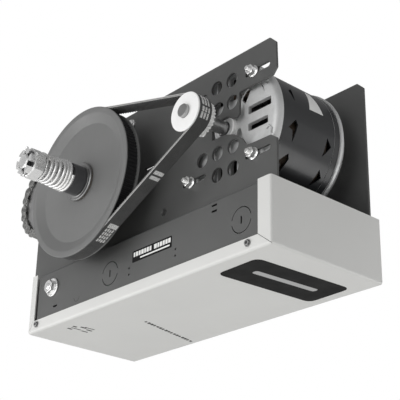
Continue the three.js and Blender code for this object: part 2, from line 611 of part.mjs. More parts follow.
function makeTransformer() {
  const core = block([120, 176], [-30, 18], [28, 66]);
  const coil = block([131, 165], [-40, 28], [34, 60]);
  const feet = block([112, 184], [-20, 8], [64, 76.2]);
  return join(core, coil, feet);
}

function makeContactor() {
  const body = block([30, 82], [-12, 52], [24, 76.2]);
  const poles = [0, 1, 2].map((i) => block([33 + i * 17, 45 + i * 17], [-20, 60], [36, 50]));
  return join(body, ...poles);
}

function makeTerminalBlock() {
  const base = block([-60, 20], [74, 86.4], [30, 50]);
  const wells = [0, 1, 2, 3, 4, 5].map((i) => block([-57 + i * 13, -47 + i * 13], [70, 80], [34, 46]));
  return cut(base, ...wells);
}

piece(operator, 'logic_board', makeLogicBoard(), 'board');
piece(operator, 'transformer', makeTransformer(), 'laminations');
piece(operator, 'motor_contactor', makeContactor(), 'black_plastic');
piece(operator, 'terminal_block', makeTerminalBlock(), 'grey_plastic');
piece(operator, 'run_capacitor', join(
  barX(48, 44, 22, -110, -20), barX(48, 44, 5, -21, -10, 8),
), 'black_plastic');

export default operator;
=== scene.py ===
"""Belt-and-chain door operator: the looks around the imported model. Lengths are in millimetres."""

import math

import bmesh
import bpy
from mathutils import Matrix, Vector
from mathutils.geometry import tessellate_polygon


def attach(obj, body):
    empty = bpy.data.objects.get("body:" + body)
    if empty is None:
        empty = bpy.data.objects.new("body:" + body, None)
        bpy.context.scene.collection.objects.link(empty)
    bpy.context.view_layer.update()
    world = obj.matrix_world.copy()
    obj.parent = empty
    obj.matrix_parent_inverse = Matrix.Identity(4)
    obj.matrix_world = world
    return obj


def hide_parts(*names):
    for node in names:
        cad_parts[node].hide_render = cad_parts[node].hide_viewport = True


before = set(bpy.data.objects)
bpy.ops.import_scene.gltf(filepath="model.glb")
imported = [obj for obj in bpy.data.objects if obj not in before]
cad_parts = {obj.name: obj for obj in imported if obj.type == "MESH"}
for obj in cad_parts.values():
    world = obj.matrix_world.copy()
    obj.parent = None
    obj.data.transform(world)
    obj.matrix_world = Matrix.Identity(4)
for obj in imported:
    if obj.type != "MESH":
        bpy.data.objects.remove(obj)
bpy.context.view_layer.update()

MM = 0.001
GAP = 0.3
TAU = 2 * math.pi

COVER = {"x": 225, "y": 90, "top": 80, "sheet": 1.5, "lip": 16, "left_lip": 13, "right_lip": 20, "bend": 3.4}
BOX = {"left": -210, "right": 222.5, "y": 88.2, "bottom": 2, "top": 78, "sheet": 1.5, "bend": 2.2}
PLATE = {"front": -76, "back": 78, "thickness": 3, "bottom": 78.3, "top": 262, "left": -240, "right": 220.5}
MOTOR = {"x": 131.5, "z": 175.5, "shaft": 8, "radius": 83, "shell": 80.5, "bolt": 53}
CLUTCH = {"x": -72, "z": 157.5}
OUTPUT = {"x": -190.45, "z": 182}
LIMIT = {"x": -165, "z": 38}
SHAFT = 12.7
BORE = SHAFT + GAP
BELT = {"pitch": 5, "small": 28, "big": 120, "front": -131, "back": -112.8}
CHAIN = {"pitch": 12.7, "pinion": 12, "driven": 25, "y": -97}
LIMIT_CHAIN = {"pitch": 6.35, "teeth": 20, "y": 50}
SCREW_X = (-205, 190)
SCREW_Z = 10
SCREW_HOLE = 2.3
BOLT = (-176.3, 54)
KNOCKOUTS = ((-53.5, 41), (178, 41))
TIE_RODS = {"tie_rod_upper": (-41, 247), "tie_rod_lower": (31.4, 99.6)}
MOTOR_CORNERS = {"lower_left": (-1, -1), "lower_right": (1, -1), "upper_right": (1, 1), "upper_left": (-1, 1)}
BELL = {"boss": -72, "face": -67, "back": -57.6}
REAR = {"front": 30, "back": 54}


# ---------------------------------------------------------------- shapes
class Shape:
    """Vertices in millimetres and faces, with a material index for each face."""

    def __init__(self, verts, faces, tag=0):
        self.verts = verts
        self.faces = faces
        self.tags = [tag] * len(faces)

    def __add__(self, other):
        shift = len(self.verts)
        faces = [tuple(i + shift for i in face) for face in other.faces]
        total = Shape(self.verts + other.verts, self.faces + faces)
        total.tags = self.tags + other.tags
        return total

    def tagged(self, tag):
        return Shape(self.verts, self.faces, tag)

    def mapped(self, matrix):
        moved = Shape([tuple(matrix @ Vector(v)) for v in self.verts], self.faces)
        moved.tags = self.tags
        return moved

    def at(self, x=0, y=0, z=0):
        return self.mapped(Matrix.Translation((x, y, z)))

    def spun(self, angle):
        """Turned about the Y axis, from +X towards +Z."""
        return self.mapped(Matrix.Rotation(-angle, 4, "Y"))


def joined(shapes):
    shapes = list(shapes)
    total = shapes[0]
    for shape in shapes[1:]:
        total = total + shape
    return total


def circle(x, z, radius, count=48, phase=0.0):
    steps = [phase + TAU * i / count for i in range(count)]
    return [(x + radius * math.cos(a), z + radius * math.sin(a)) for a in steps]


def slot_loop(x, z, length, height, count=10):
    half = (length - height) / 2
    right = [(-0.5 + i / count) * math.pi for i in range(count + 1)]
    left = [a + math.pi for a in right]
    points = [(x + half + height / 2 * math.cos(a), z + height / 2 * math.sin(a)) for a in right]
    return points + [(x - half + height / 2 * math.cos(a), z + height / 2 * math.sin(a)) for a in left]


def rounded(points, radius, count=4):
    """A closed loop with each corner replaced by a short curve."""
    result = []
    total = len(points)
    for i, corner in enumerate(points):
        here = Vector(corner)
        before = Vector(points[i - 1]) - here
        after = Vector(points[(i + 1) % total]) - here
        reach = min(radius, before.length * 0.45, after.length * 0.45)
        start = here + before.normalized() * reach
        end = here + after.normalized() * reach
        for k in range(count + 1):
            t = k / count
            result.append(tuple((1 - t) ** 2 * start + 2 * t * (1 - t) * here + t * t * end))
    return result


def rectangle(x0, x1, z0, z1):
    return [(x0, z0), (x1, z0), (x1, z1), (x0, z1)]


def prism(loops, y0, y1):
    """A flat plate in the XZ plane: the first loop is its outline and the others are holes."""
    flat = [point for loop in loops for point in loop]
    count = len(flat)
    verts = [(x, y0, z) for x, z in flat] + [(x, y1, z) for x, z in flat]
    triangles = tessellate_polygon([[Vector((x, z, 0)) for x, z in loop] for loop in loops])
    faces = [tuple(t) for t in triangles]
    faces += [tuple(i + count for i in reversed(t)) for t in triangles]
    start = 0
    for loop in loops:
        size = len(loop)
        for i in range(size):
            a = start + i
            b = start + (i + 1) % size
            faces.append((a, b, b + count, a + count))
        start += size
    return Shape(verts, faces)


def cuboid(x, y, z):
    return prism([rectangle(x[0], x[1], z[0], z[1])], y[0], y[1])


def lathe(profile, segments=96):
    """A turned shape about the Y axis from [radius, y] points. A profile off the axis closes on itself."""
    open_ended = profile[0][0] == 0 and profile[-1][0] == 0
    verts = []
    rows = []
    for radius, y in profile:
        if radius == 0:
            rows.append([len(verts)] * segments)
            verts.append((0, y, 0))
            continue
        rows.append(list(range(len(verts), len(verts) + segments)))
        for i in range(segments):
            angle = TAU * i / segments
            verts.append((radius * math.cos(angle), y, radius * math.sin(angle)))
    pairs = list(zip(rows, rows[1:]))
    if not open_ended:
        pairs.append((rows[-1], rows[0]))
    faces = []
    for low, high in pairs:
        for i in range(segments):
            j = (i + 1) % segments
            ring = []
            for index in (low[i], low[j], high[j], high[i]):
                if index not in ring:
                    ring.append(index)
            if len(ring) > 2:
                faces.append(tuple(ring))
    return Shape(verts, faces)


def ring(inner, outer, y0, y1, segments=96):
    return lathe([(inner, y0), (outer, y0), (outer, y1), (inner, y1)], segments)


def rod(radius, y0, y1, segments=48):
    return lathe([(0, y0), (radius, y0), (radius, y1), (0, y1)], segments)


def dome(radius, height, y, direction=-1, segments=32, count=5):
    """A rounded head that stands on the plane at y."""
    profile = [(0, y)]
    for i in range(count + 1):
        angle = i / count * math.pi / 2
        profile.append((radius * math.cos(angle), y + direction * height * math.sin(angle)))
    profile[-1] = (0, y + direction * height)
    return lathe(profile, segments)


def sweep(path, radius, sides=12, closed=False):
    """A round wire along a list of points."""
    points = [Vector(p) for p in path]
    count = len(points)
    tangents = []
    for i in range(count):
        before = points[i - 1] if closed or i else points[i]
        after = points[(i + 1) % count] if closed or i < count - 1 else points[i]
        tangents.append((after - before).normalized())
    side = tangents[0].orthogonal().normalized()
    verts = []
    for point, tangent in zip(points, tangents):
        side = (side - tangent * side.dot(tangent)).normalized()
        other = tangent.cross(side)
        for k in range(sides):
            angle = TAU * k / sides
            verts.append(tuple(point + (side * math.cos(angle) + other * math.sin(angle)) * radius))
    faces = []
    for i in range(count if closed else count - 1):
        for k in range(sides):
            a = i * sides + k
            b = i * sides + (k + 1) % sides
            shift = ((i + 1) % count - i) * sides
            faces.append((a, b, b + shift, a + shift))
    if not closed:
        faces.append(tuple(range(sides)))
        faces.append(tuple((count - 1) * sides + k for k in reversed(range(sides))))
    return Shape(verts, faces)


class Loop:
    """The line a belt or chain follows round wheel a and then wheel b, measured along its pitch line."""

    def __init__(self, a, b, ra, rb):
        self.a = Vector((a["x"], a["z"]))
        self.b = Vector((b["x"], b["z"]))
        self.ra = ra
        self.rb = rb
        apart = self.b - self.a
        heading = math.atan2(apart.y, apart.x)
        lean = math.acos((ra - rb) / apart.length)
        self.start_a = heading + lean
        self.start_b = heading - lean
        self.arc_a = (TAU - 2 * lean) * ra
        self.arc_b = 2 * lean * rb
        self.straight = apart.length * math.sin(lean)
        self.length = self.arc_a + self.arc_b + 2 * self.straight

    def at(self, s):
        """The point at distance s, and the direction that points out of the loop."""
        s %= self.length
        if s < self.arc_a:
            return self._on(self.a, self.ra, self.start_a + s / self.ra)
        s -= self.arc_a
        if s < self.straight:
            return self._between((self.a, self.ra), (self.b, self.rb), self.start_b, s)
        s -= self.straight
        if s < self.arc_b:
            return self._on(self.b, self.rb, self.start_b + s / self.rb)
        s -= self.arc_b
        return self._between((self.b, self.rb), (self.a, self.ra), self.start_a, s)

    def _on(self, centre, radius, angle):
        out = Vector((math.cos(angle), math.sin(angle)))
        return centre + out * radius, out

    def _between(self, first, second, angle, s):
        out = Vector((math.cos(angle), math.sin(angle)))
        start = first[0] + out * first[1]
        end = second[0] + out * second[1]
        return start.lerp(end, s / self.straight), out


def band(samples, y0, y1):
    """A closed band from (outer point, inner point) pairs."""
    verts = []
    for outer, inner in samples:
        verts += [(outer[0], y0, outer[1]), (outer[0], y1, outer[1])]
        verts += [(inner[0], y1, inner[1]), (inner[0], y0, inner[1])]
    faces = []
    count = len(samples)
    for i in range(count):
        a = 4 * i
        b = 4 * ((i + 1) % count)
        for k in range(4):
            m = (k + 1) % 4
            faces.append((a + k, a + m, b + m, b + k))
    return Shape(verts, faces)


# ---------------------------------------------------------------- objects
def mesh_from(name, shape):
    mesh = bpy.data.meshes.new(name)
    mesh.from_pydata([(x * MM, y * MM, z * MM) for x, y, z in shape.verts], [], shape.faces)
    mesh.polygons.foreach_set("material_index", shape.tags)
    work = bmesh.new()
    work.from_mesh(mesh)
    bmesh.ops.recalc_face_normals(work, faces=work.faces)
    work.to_mesh(mesh)
    work.free()
    return mesh


def finish_edges(obj, bevel, angle=30):
    """Small rounded edges that catch the light, with the flat faces kept flat."""
    obj.data.shade_smooth()
    obj.data.set_sharp_from_angle(angle=math.radians(angle))
    if bevel:
        edge = obj.modifiers.new("edge", "BEVEL")
        edge.width = bevel * MM
        edge.segments = 2
        edge.limit_method = "ANGLE"
        edge.angle_limit = math.radians(angle)
        edge.use_clamp_overlap = True
    even = obj.modifiers.new("even", "WEIGHTED_NORMAL")
    even.keep_sharp = True


def place(name, mesh, body, slot, replaces=(), bevel=0.25, angle=30, paints=()):
    """Puts a mesh on its body. It wears its slot's paint unless paints are named."""
    obj = bpy.data.objects.new(name, mesh)
    bpy.context.scene.collection.objects.link(obj)
    for paint in paints or (slot,):
        mesh.materials.append(PAINT[paint])
    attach(obj, body)
    if replaces:
        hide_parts(*replaces)
    finish_edges(obj, bevel, angle)
    return obj


def make(name, shape, body, slot, replaces=(), bevel=0.25, angle=30, paints=()):
    return place(name, mesh_from(name, shape), body, slot, replaces, bevel, angle, paints)


def carved(name, solid, cutters):
    """The mesh of a solid with cutter shapes taken out of it."""
    scene = bpy.context.scene
    target = bpy.data.objects.new(name + "_blank", solid)
    scene.collection.objects.link(target)
    tool = bpy.data.objects.new(name + "_tool", mesh_from(name + "_tool", joined(cutters)))
    scene.collection.objects.link(tool)
    cut = target.modifiers.new("cut", "BOOLEAN")
    cut.operation = "DIFFERENCE"
    cut.solver = "EXACT"
    cut.use_self = True
    cut.object = tool
    bpy.context.view_layer.update()
    mesh = bpy.data.meshes.new_from_object(target.evaluated_get(bpy.context.evaluated_depsgraph_get()))
    for obj in (target, tool):
        data = obj.data
        bpy.data.objects.remove(obj)
        bpy.data.meshes.remove(data)
    mesh.name = name
    return mesh


def folded_tray(name, low, high, sheet, bend, open_top):
    """A sheet-metal tray with bent corners, open on one side."""
    work = bmesh.new()
    bmesh.ops.create_cube(work, size=1)
    size = Vector(high) - Vector(low)
    centre = (Vector(high) + Vector(low)) / 2
    for vert in work.verts:
        vert.co = Vector([vert.co[k] * size[k] + centre[k] for k in range(3)]) * MM
    side = 1 if open_top else -1
    lid = [f for f in work.faces if f.normal.z * side > 0.5]
    bmesh.ops.delete(work, geom=lid, context="FACES_ONLY")
    rim = [e for e in work.edges if e.is_boundary]
    bends = [e for e in work.edges if e not in rim]
    bmesh.ops.bevel(work, geom=bends, offset=bend * MM, segments=5, profile=0.5, affect="EDGES")
    blank = bpy.data.meshes.new(name + "_skin")
    work.to_mesh(blank)
    work.free()
    obj = bpy.data.objects.new(name + "_skin", blank)
    bpy.context.scene.collection.objects.link(obj)
    thick = obj.modifiers.new("thick", "SOLIDIFY")
    thick.thickness = sheet * MM
    thick.offset = -1
    thick.use_even_offset = True
    bpy.context.view_layer.update()
    mesh = bpy.data.meshes.new_from_object(obj.evaluated_get(bpy.context.evaluated_depsgraph_get()))
    bpy.data.objects.remove(obj)
    bpy.data.meshes.remove(blank)
    return mesh


# ---------------------------------------------------------------- materials
class Graph:
    """A principled material with short calls for the nodes that vary it."""

    def __init__(self, name, color, roughness, metallic=0.0):
        self.material = bpy.data.materials.new(name)
        self.material.use_nodes = True
        self.nodes = self.material.node_tree.nodes
        self.links = self.material.node_tree.links
        self.shader = self.nodes["Principled BSDF"]
        self.color = color
        self.roughness = roughness
        self.set("Base Color", (*color, 1))
        self.set("Roughness", roughness)
        self.set("Metallic", metallic)
        self.place = self.nodes.new("ShaderNodeTexCoord").outputs["Object"]
        self.bump = None

    def set(self, socket, value):
        self.shader.inputs[socket].default_value = value

    def scaled(self, factors):
        node = self.nodes.new("ShaderNodeMapping")
        node.inputs["Scale"].default_value = factors
        self.links.new(self.place, node.inputs["Vector"])
        return node.outputs["Vector"]

    def turned(self, angles, vector=None):
        node = self.nodes.new("ShaderNodeMapping")
        node.inputs["Rotation"].default_value = angles
        self.links.new(vector or self.place, node.inputs["Vector"])
        return node.outputs["Vector"]

    def noise(self, scale, detail=4.0, vector=None, rough=0.5):
        node = self.nodes.new("ShaderNodeTexNoise")
        node.inputs["Scale"].default_value = scale
        node.inputs["Detail"].default_value = detail
        node.inputs["Roughness"].default_value = rough
        self.links.new(vector or self.place, node.inputs["Vector"])
        return node.outputs["Fac"]

    def cells(self, scale, feature="F1", vector=None):
        node = self.nodes.new("ShaderNodeTexVoronoi")
        node.feature = feature
        node.inputs["Scale"].default_value = scale
        self.links.new(vector or self.place, node.inputs["Vector"])
        return node.outputs["Distance"]

    def waves(self, scale, direction="X", distortion=0.0, vector=None, kind="BANDS"):
        node = self.nodes.new("ShaderNodeTexWave")
        node.wave_type = kind
        if kind == "BANDS":
            node.bands_direction = direction
        else:
            node.rings_direction = direction
        node.inputs["Scale"].default_value = scale
        node.inputs["Distortion"].default_value = distortion
        self.links.new(vector or self.place, node.inputs["Vector"])
        return node.outputs["Fac"]

    def spread(self, value, low, high, to_low, to_high):
        node = self.nodes.new("ShaderNodeMapRange")
        node.inputs["From Min"].default_value = low
        node.inputs["From Max"].default_value = high
        node.inputs["To Min"].default_value = to_low
        node.inputs["To Max"].default_value = to_high
        self.links.new(value, node.inputs["Value"])
        return node.outputs["Result"]

    def math(self, operation, first, second):
        node = self.nodes.new("ShaderNodeMath")
        node.operation = operation
        for socket, value in zip(node.inputs, (first, second)):
            if isinstance(value, (int, float)):
                socket.default_value = value
            else:
                self.links.new(value, socket)
        return node.outputs["Value"]

    def tint(self, factor, color):
        """Mixes another colour over the base where the factor is high."""
        node = self.nodes.new("ShaderNodeMix")
        node.data_type = "RGBA"
        base = self.shader.inputs["Base Color"]
        if base.is_linked:
            self.links.new(base.links[0].from_socket, node.inputs["A"])
        else:
            node.inputs["A"].default_value = tuple(base.default_value)
        node.inputs["B"].default_value = (*color, 1)
        self.links.new(factor, node.inputs["Factor"])
        self.links.new(node.outputs["Result"], base)

    def blotch(self, value, low, high, amount, color):
        self.tint(self.spread(value, low, high, 0.0, amount), color)

    def vary_roughness(self, value, low, high):
        self.links.new(self.spread(value, 0.3, 0.7, low, high), self.shader.inputs["Roughness"])

    def raise_by(self, height, strength, distance_mm):
        node = self.nodes.new("ShaderNodeBump")
        node.inputs["Strength"].default_value = strength
        node.inputs["Distance"].default_value = distance_mm * MM
        self.links.new(height, node.inputs["Height"])
        if self.bump:
            self.links.new(self.bump, node.inputs["Normal"])
        self.bump = node.outputs["Normal"]
        self.links.new(self.bump, self.shader.inputs["Normal"])


def shade(color, factor):
    return tuple(min(1.0, c * factor) for c in color)


def cover_paint():
    base = (0.70, 0.70, 0.685)
    g = Graph("cover_paint", base, 0.4)
    g.set("Specular IOR Level", 0.45)
    g.set("Coat Weight", 0.35)
    g.set("Coat Roughness", 0.22)
    g.blotch(g.noise(9, 3), 0.35, 0.7, 0.5, shade(base, 0.94))
    g.blotch(g.noise(160, 6, rough=0.65), 0.66, 0.8, 0.35, shade(base, 0.82))
    g.vary_roughness(g.noise(14, 4), 0.34, 0.46)
    g.raise_by(g.noise(420, 3), 0.12, 0.12)
    g.raise_by(g.noise(5, 1), 0.1, 0.6)
    return g.material


def frame_paint():
    base = (0.076, 0.077, 0.076)
    g = Graph("frame_paint", base, 0.42)
    g.set("Specular IOR Level", 0.55)
    g.blotch(g.noise(12, 4), 0.35, 0.7, 0.6, shade(base, 1.25))
    g.blotch(g.noise(900, 3, rough=0.7), 0.62, 0.78, 0.5, shade(base, 1.7))
    g.vary_roughness(g.noise(18, 5), 0.36, 0.5)
    g.raise_by(g.noise(1100, 2), 0.22, 0.08)
    return g.material


def pulley_paint():
    base = (0.170, 0.171, 0.170)
    g = Graph("pulley_paint", base, 0.45)
    g.set("Specular IOR Level", 0.5)
    g.blotch(g.noise(14, 4), 0.4, 0.7, 0.5, shade(base, 0.86))
    g.blotch(g.noise(700, 4, rough=0.7), 0.62, 0.8, 0.5, shade(base, 0.7))
    g.vary_roughness(g.noise(25, 4), 0.38, 0.52)
    g.raise_by(g.noise(260, 5), 0.18, 0.15)
    return g.material


def motor_paint():
    base = (0.018, 0.019, 0.021)
    g = Graph("motor_paint", base, 0.28)
    g.set("Coat Weight", 0.25)
    g.set("Coat Roughness", 0.15)
    g.blotch(g.noise(60, 6, rough=0.7), 0.6, 0.8, 0.4, shade(base, 3.0))
    g.vary_roughness(g.noise(20, 4), 0.24, 0.38)
    g.raise_by(g.noise(350, 3), 0.14, 0.12)
    return g.material


def cast_aluminium():
    base = (0.68, 0.685, 0.685)
    g = Graph("cast_aluminium", base, 0.5, 0.5)
    g.blotch(g.noise(45, 6, rough=0.65), 0.45, 0.75, 0.5, shade(base, 0.74))
    g.tint(g.spread(g.cells(1400), 0.0, 0.5, 0.35, 0.0), shade(base, 1.3))
    g.vary_roughness(g.noise(120, 5), 0.38, 0.58)
    g.raise_by(g.noise(600, 6, rough=0.6), 0.4, 0.2)
    g.raise_by(g.noise(40, 3), 0.2, 0.6)
    return g.material


def turned_metal(name, color, low, high, lines):
    """Lathe-cut metal: fine rings across the Y axis and a little handling grime."""
    g = Graph(name, color, (low + high) / 2, 1.0)
    rings = g.noise(1, 6, g.scaled((40, lines, 40)), 0.7)
    g.blotch(rings, 0.35, 0.7, 0.45, shade(color, 0.72))
    g.blotch(g.noise(70, 6, rough=0.7), 0.58, 0.8, 0.5, shade(color, 0.55))
    g.vary_roughness(g.noise(1, 5, g.scaled((60, lines / 2, 60))), low, high)
    g.raise_by(rings, 0.2, 0.06)
    return g


def zinc():
    base = (0.97, 0.97, 0.97)
    g = Graph("zinc", base, 0.24, 0.85)
    g.blotch(g.noise(70, 6, rough=0.7), 0.58, 0.8, 0.4, shade(base, 0.74))
    g.blotch(g.noise(35, 3), 0.5, 0.75, 0.25, (0.8, 0.79, 0.72))
    g.vary_roughness(g.noise(90, 5), 0.16, 0.32)
    g.raise_by(g.noise(260, 4), 0.2, 0.08)
    return g.material


def steel():
    return turned_metal("steel", (0.44, 0.44, 0.44), 0.24, 0.42, 2200).material


def bright_alloy():
    base = (0.97, 0.97, 0.965)
    g = Graph("bright_alloy", base, 0.36, 0.12)
    rings = g.noise(1, 6, g.scaled((40, 2600, 40)), 0.7)
    g.blotch(rings, 0.4, 0.75, 0.4, shade(base, 0.9))
    g.blotch(g.noise(90, 6, rough=0.7), 0.6, 0.8, 0.4, shade(base, 0.72))
    g.vary_roughness(g.noise(60, 4), 0.32, 0.44)
    g.raise_by(rings, 0.2, 0.06)
    return g.material


def black_oxide():
    g = turned_metal("black_oxide", (0.10, 0.10, 0.105), 0.36, 0.5, 1800)
    g.set("Metallic", 0.5)
    return g.material


def lining():
    base = (0.15, 0.128, 0.105)
    g = Graph("lining", base, 0.88)
    g.blotch(g.noise(1500, 4, rough=0.8), 0.5, 0.75, 0.9, (0.36, 0.33, 0.29))
    g.tint(g.spread(g.cells(900), 0.0, 0.25, 0.8, 0.0), (0.04, 0.035, 0.03))
    g.raise_by(g.noise(1300, 5), 0.5, 0.15)
    return g.material


def belt_rubber():
    base = (0.05, 0.05, 0.05)
    g = Graph("belt_rubber", base, 0.62)
    g.set("Specular IOR Level", 0.4)
    weave_a = g.waves(330, "X", 0.0, g.turned((0.6, 0.5, 0.7)))
    weave_b = g.waves(330, "X", 0.0, g.turned((-0.6, -0.5, -0.7)))
    weave = g.math("MULTIPLY", weave_a, weave_b)
    g.blotch(weave, 0.35, 0.8, 0.75, shade(base, 3.0))
    g.blotch(g.noise(30, 5, rough=0.7), 0.5, 0.8, 0.5, shade(base, 2.0))
    g.vary_roughness(g.noise(80, 4), 0.5, 0.72)
    g.raise_by(weave, 0.5, 0.25)
    return g.material


def chain_steel():
    base = (0.26, 0.26, 0.255)
    g = Graph("chain_steel", base, 0.32, 1.0)
    g.blotch(g.noise(180, 6, rough=0.7), 0.45, 0.7, 0.85, shade(base, 0.22))
    g.blotch(g.noise(60, 3), 0.6, 0.8, 0.3, (0.16, 0.12, 0.09))
    g.vary_roughness(g.noise(200, 4), 0.24, 0.5)
    g.raise_by(g.noise(900, 4), 0.25, 0.08)
    return g.material


def laminations():
    base = (0.17, 0.175, 0.185)
    g = Graph("laminations", base, 0.45, 0.85)
    stack = g.waves(320, "Y")
    g.blotch(stack, 0.2, 0.8, 0.7, shade(base, 0.45))
    g.blotch(g.noise(50, 5), 0.55, 0.8, 0.4, (0.25, 0.16, 0.08))
    g.vary_roughness(g.noise(90, 4), 0.36, 0.55)
    g.raise_by(stack, 0.4, 0.15)
    return g.material


def copper():
    base = (0.15, 0.11, 0.08)
    g = Graph("copper", base, 0.42, 0.3)
    turns = g.waves(260, "Y", 1.5, g.scaled((3, 1, 3)))
    g.blotch(turns, 0.2, 0.8, 0.6, shade(base, 0.4))
    g.vary_roughness(g.noise(120, 4), 0.22, 0.4)
    g.raise_by(turns, 0.6, 0.4)
    return g.material


def board():
    base = (0.018, 0.11, 0.045)
    g = Graph("board", base, 0.4)
    tracks = g.cells(160, "DISTANCE_TO_EDGE")
    g.tint(g.spread(tracks, 0.03, 0.06, 0.7, 0.0), shade(base, 2.2))
    g.tint(g.spread(g.cells(420), 0.0, 0.16, 1.0, 0.0), (0.6, 0.6, 0.55))
    g.vary_roughness(g.noise(60, 3), 0.34, 0.48)
    g.raise_by(tracks, 0.2, 0.05)
    return g.material


def moulded(name, color, roughness):
    g = Graph(name, color, roughness)
    g.blotch(g.noise(25, 4), 0.45, 0.75, 0.5, shade(color, 1.35))
    g.vary_roughness(g.noise(60, 4), roughness - 0.06, roughness + 0.08)
    g.raise_by(g.noise(1200, 2), 0.25, 0.08)
    return g.material


def black_plastic():
    return moulded("black_plastic", (0.013, 0.013, 0.014), 0.46)


def grey_plastic():
    return moulded("grey_plastic", (0.27, 0.28, 0.29), 0.5)


def label_film(name, color, roughness, gloss=0.5):
    """A printed film label: smooth, with light scuffs."""
    g = Graph(name, color, roughness)
    g.set("Specular IOR Level", gloss)
    g.blotch(g.noise(220, 6, rough=0.75), 0.62, 0.8, 0.35, shade(color, 0.72))
    g.vary_roughness(g.noise(40, 3), roughness - 0.05, roughness + 0.07)
    g.raise_by(g.noise(300, 2), 0.06, 0.05)
    return g.material


def worn_ink():
    base = (0.72, 0.72, 0.71)
    g = Graph("worn_ink", base, 0.6)
    g.blotch(g.noise(900, 5, rough=0.75), 0.5, 0.62, 0.85, (0.05, 0.05, 0.05))
    g.vary_roughness(g.noise(80, 4), 0.5, 0.7)
    g.raise_by(g.noise(700, 3), 0.2, 0.05)
    return g.material


def worn_zinc():
    g = turned_metal("worn_zinc", (0.33, 0.33, 0.33), 0.26, 0.44, 1500)
    return g.material


def chain_plate():
    base = (0.44, 0.44, 0.43)
    g = Graph("chain_plate", base, 0.3, 1.0)
    g.blotch(g.noise(220, 6, rough=0.7), 0.42, 0.66, 0.9, shade(base, 0.16))
    g.vary_roughness(g.noise(200, 4), 0.24, 0.48)
    g.raise_by(g.noise(900, 4), 0.2, 0.06)
    return g.material


PAINT = {
    "cover_paint": cover_paint(), "frame_paint": frame_paint(), "pulley_paint": pulley_paint(),
    "motor_paint": motor_paint(), "cast_aluminium": cast_aluminium(), "zinc": zinc(), "steel": steel(),
    "bright_alloy": bright_alloy(), "black_oxide": black_oxide(), "lining": lining(),
    "belt_rubber": belt_rubber(), "chain_steel": chain_steel(), "laminations": laminations(),
    "copper": copper(), "board": board(), "black_plastic": black_plastic(), "grey_plastic": grey_plastic(),
    "white_film": label_film("white_film", (0.80, 0.80, 0.79), 0.42),
    "black_film": label_film("black_film", (0.008, 0.008, 0.008), 0.55, 0.12),
    "belt_cord": label_film("belt_cord", (0.55, 0.55, 0.54), 0.6),
    # Painted highlight: the lighter colour for the belt's tooth tips.
    "tooth_tip_highlight": label_film("tooth_tip_highlight", (0.16, 0.16, 0.158), 0.7, 0.3),
    "grey_film": label_film("grey_film", (0.035, 0.035, 0.034), 0.5, 0.2),
    "silver_film": label_film("silver_film", (0.42, 0.42, 0.42), 0.35),
    "worn_ink": worn_ink(), "worn_zinc": worn_zinc(), "chain_plate": chain_plate(),
}


# ---------------------------------------------------------------- shared part shapes
def hexagon(corner, seat, top, bore=0.0, phase=0.0, segments=72):
    """A hexagon head or nut on the plane y = seat, with the usual coned chamfer at the top."""
    flat = corner * math.cos(math.pi / 6)
    crown = flat * 0.95
    side = 1 if top > seat else -1
    rows = [[], [], [], []]
    for i in range(segments):
        angle = TAU * i / segments
        turn = (angle - phase) % (math.pi / 3) - math.pi / 6
        radius = flat / math.cos(turn)
        x, z = math.cos(angle), math.sin(angle)
        rows[0].append((radius * x, seat, radius * z))
        rows[1].append((radius * x, top - side * (radius - crown) * 0.5, radius * z))
        rows[2].append((crown * x, top, crown * z))
        rows[3].append((bore * x, top, bore * z))
    verts = [v for row in rows[:3] for v in row]
    faces = []
    for row in range(2):
        for i in range(segments):
            j = (i + 1) % segments
            base = row * segments
            faces.append((base + i, base + j, base + segments + j, base + segments + i))
    if bore:
        start = len(verts)
        verts += rows[3] + [(x, seat, z) for x, _, z in rows[3]]
        for i in range(segments):
            j = (i + 1) % segments
            faces.append((2 * segments + i, 2 * segments + j, start + j, start + i))
            faces.append((start + i, start + j, start + segments + j, start + segments + i))
            faces.append((start + segments + i, start + segments + j, j, i))
    else:
        faces.append(tuple(2 * segments + i for i in range(segments)))
        faces.append(tuple(reversed(range(segments))))
    return Shape(verts, faces)


def thread(radius, pitch, y0, y1, segments=32):
    """Thread crests as closely spaced ridges."""
    turns = max(1, round((y1 - y0) / pitch))
    step = (y1 - y0) / turns
    profile = [(0, y0)]
    for i in range(turns):
        profile.append((radius - pitch * 0.5, y0 + i * step))
        profile.append((radius, y0 + (i + 0.5) * step))
    profile += [(radius - pitch * 0.5, y1), (0, y1)]
    return lathe(profile, segments)


def sprocket_loop(pitch, teeth, roller, phase=0.0, steps=7):
    """A chain sprocket outline: round roller seats, with one of them at angle phase."""
    pitch_radius = pitch / (2 * math.sin(math.pi / teeth))
    tip = pitch * (0.6 + 1 / math.tan(math.pi / teeth)) / 2
    seat = roller + 0.12
    points = []
    for k in range(teeth):
        gap = phase + TAU * k / teeth
        centre = Vector((math.cos(gap), math.sin(gap))) * pitch_radius
        for i in range(steps):
            turn = gap + math.pi + (i / (steps - 1) - 0.5) * -math.radians(125)
            points.append(tuple(centre + Vector((math.cos(turn), math.sin(turn))) * seat))
        for part in (-0.11, 0.11):
            angle = gap + TAU / teeth * (0.5 + part)
            points.append((tip * math.cos(angle), tip * math.sin(angle)))
    return points


def gear_loop(teeth, root, tip, phase=0.0, land=0.26):
    """A timing-pulley outline with a tooth gap centred on angle phase."""
    points = []
    step = TAU / teeth
    for k in range(teeth):
        for part, radius in ((-0.5 + land * 0.45, root), (-land, root), (-land * 0.7, tip), (0.0, tip)):
            angle = phase + (k + 0.5 + part) * step
            points.append((radius * math.cos(angle), radius * math.sin(angle)))
        for part, radius in ((land * 0.7, tip), (land, root)):
            angle = phase + (k + 0.5 + part) * step
            points.append((radius * math.cos(angle), radius * math.sin(angle)))
    return points


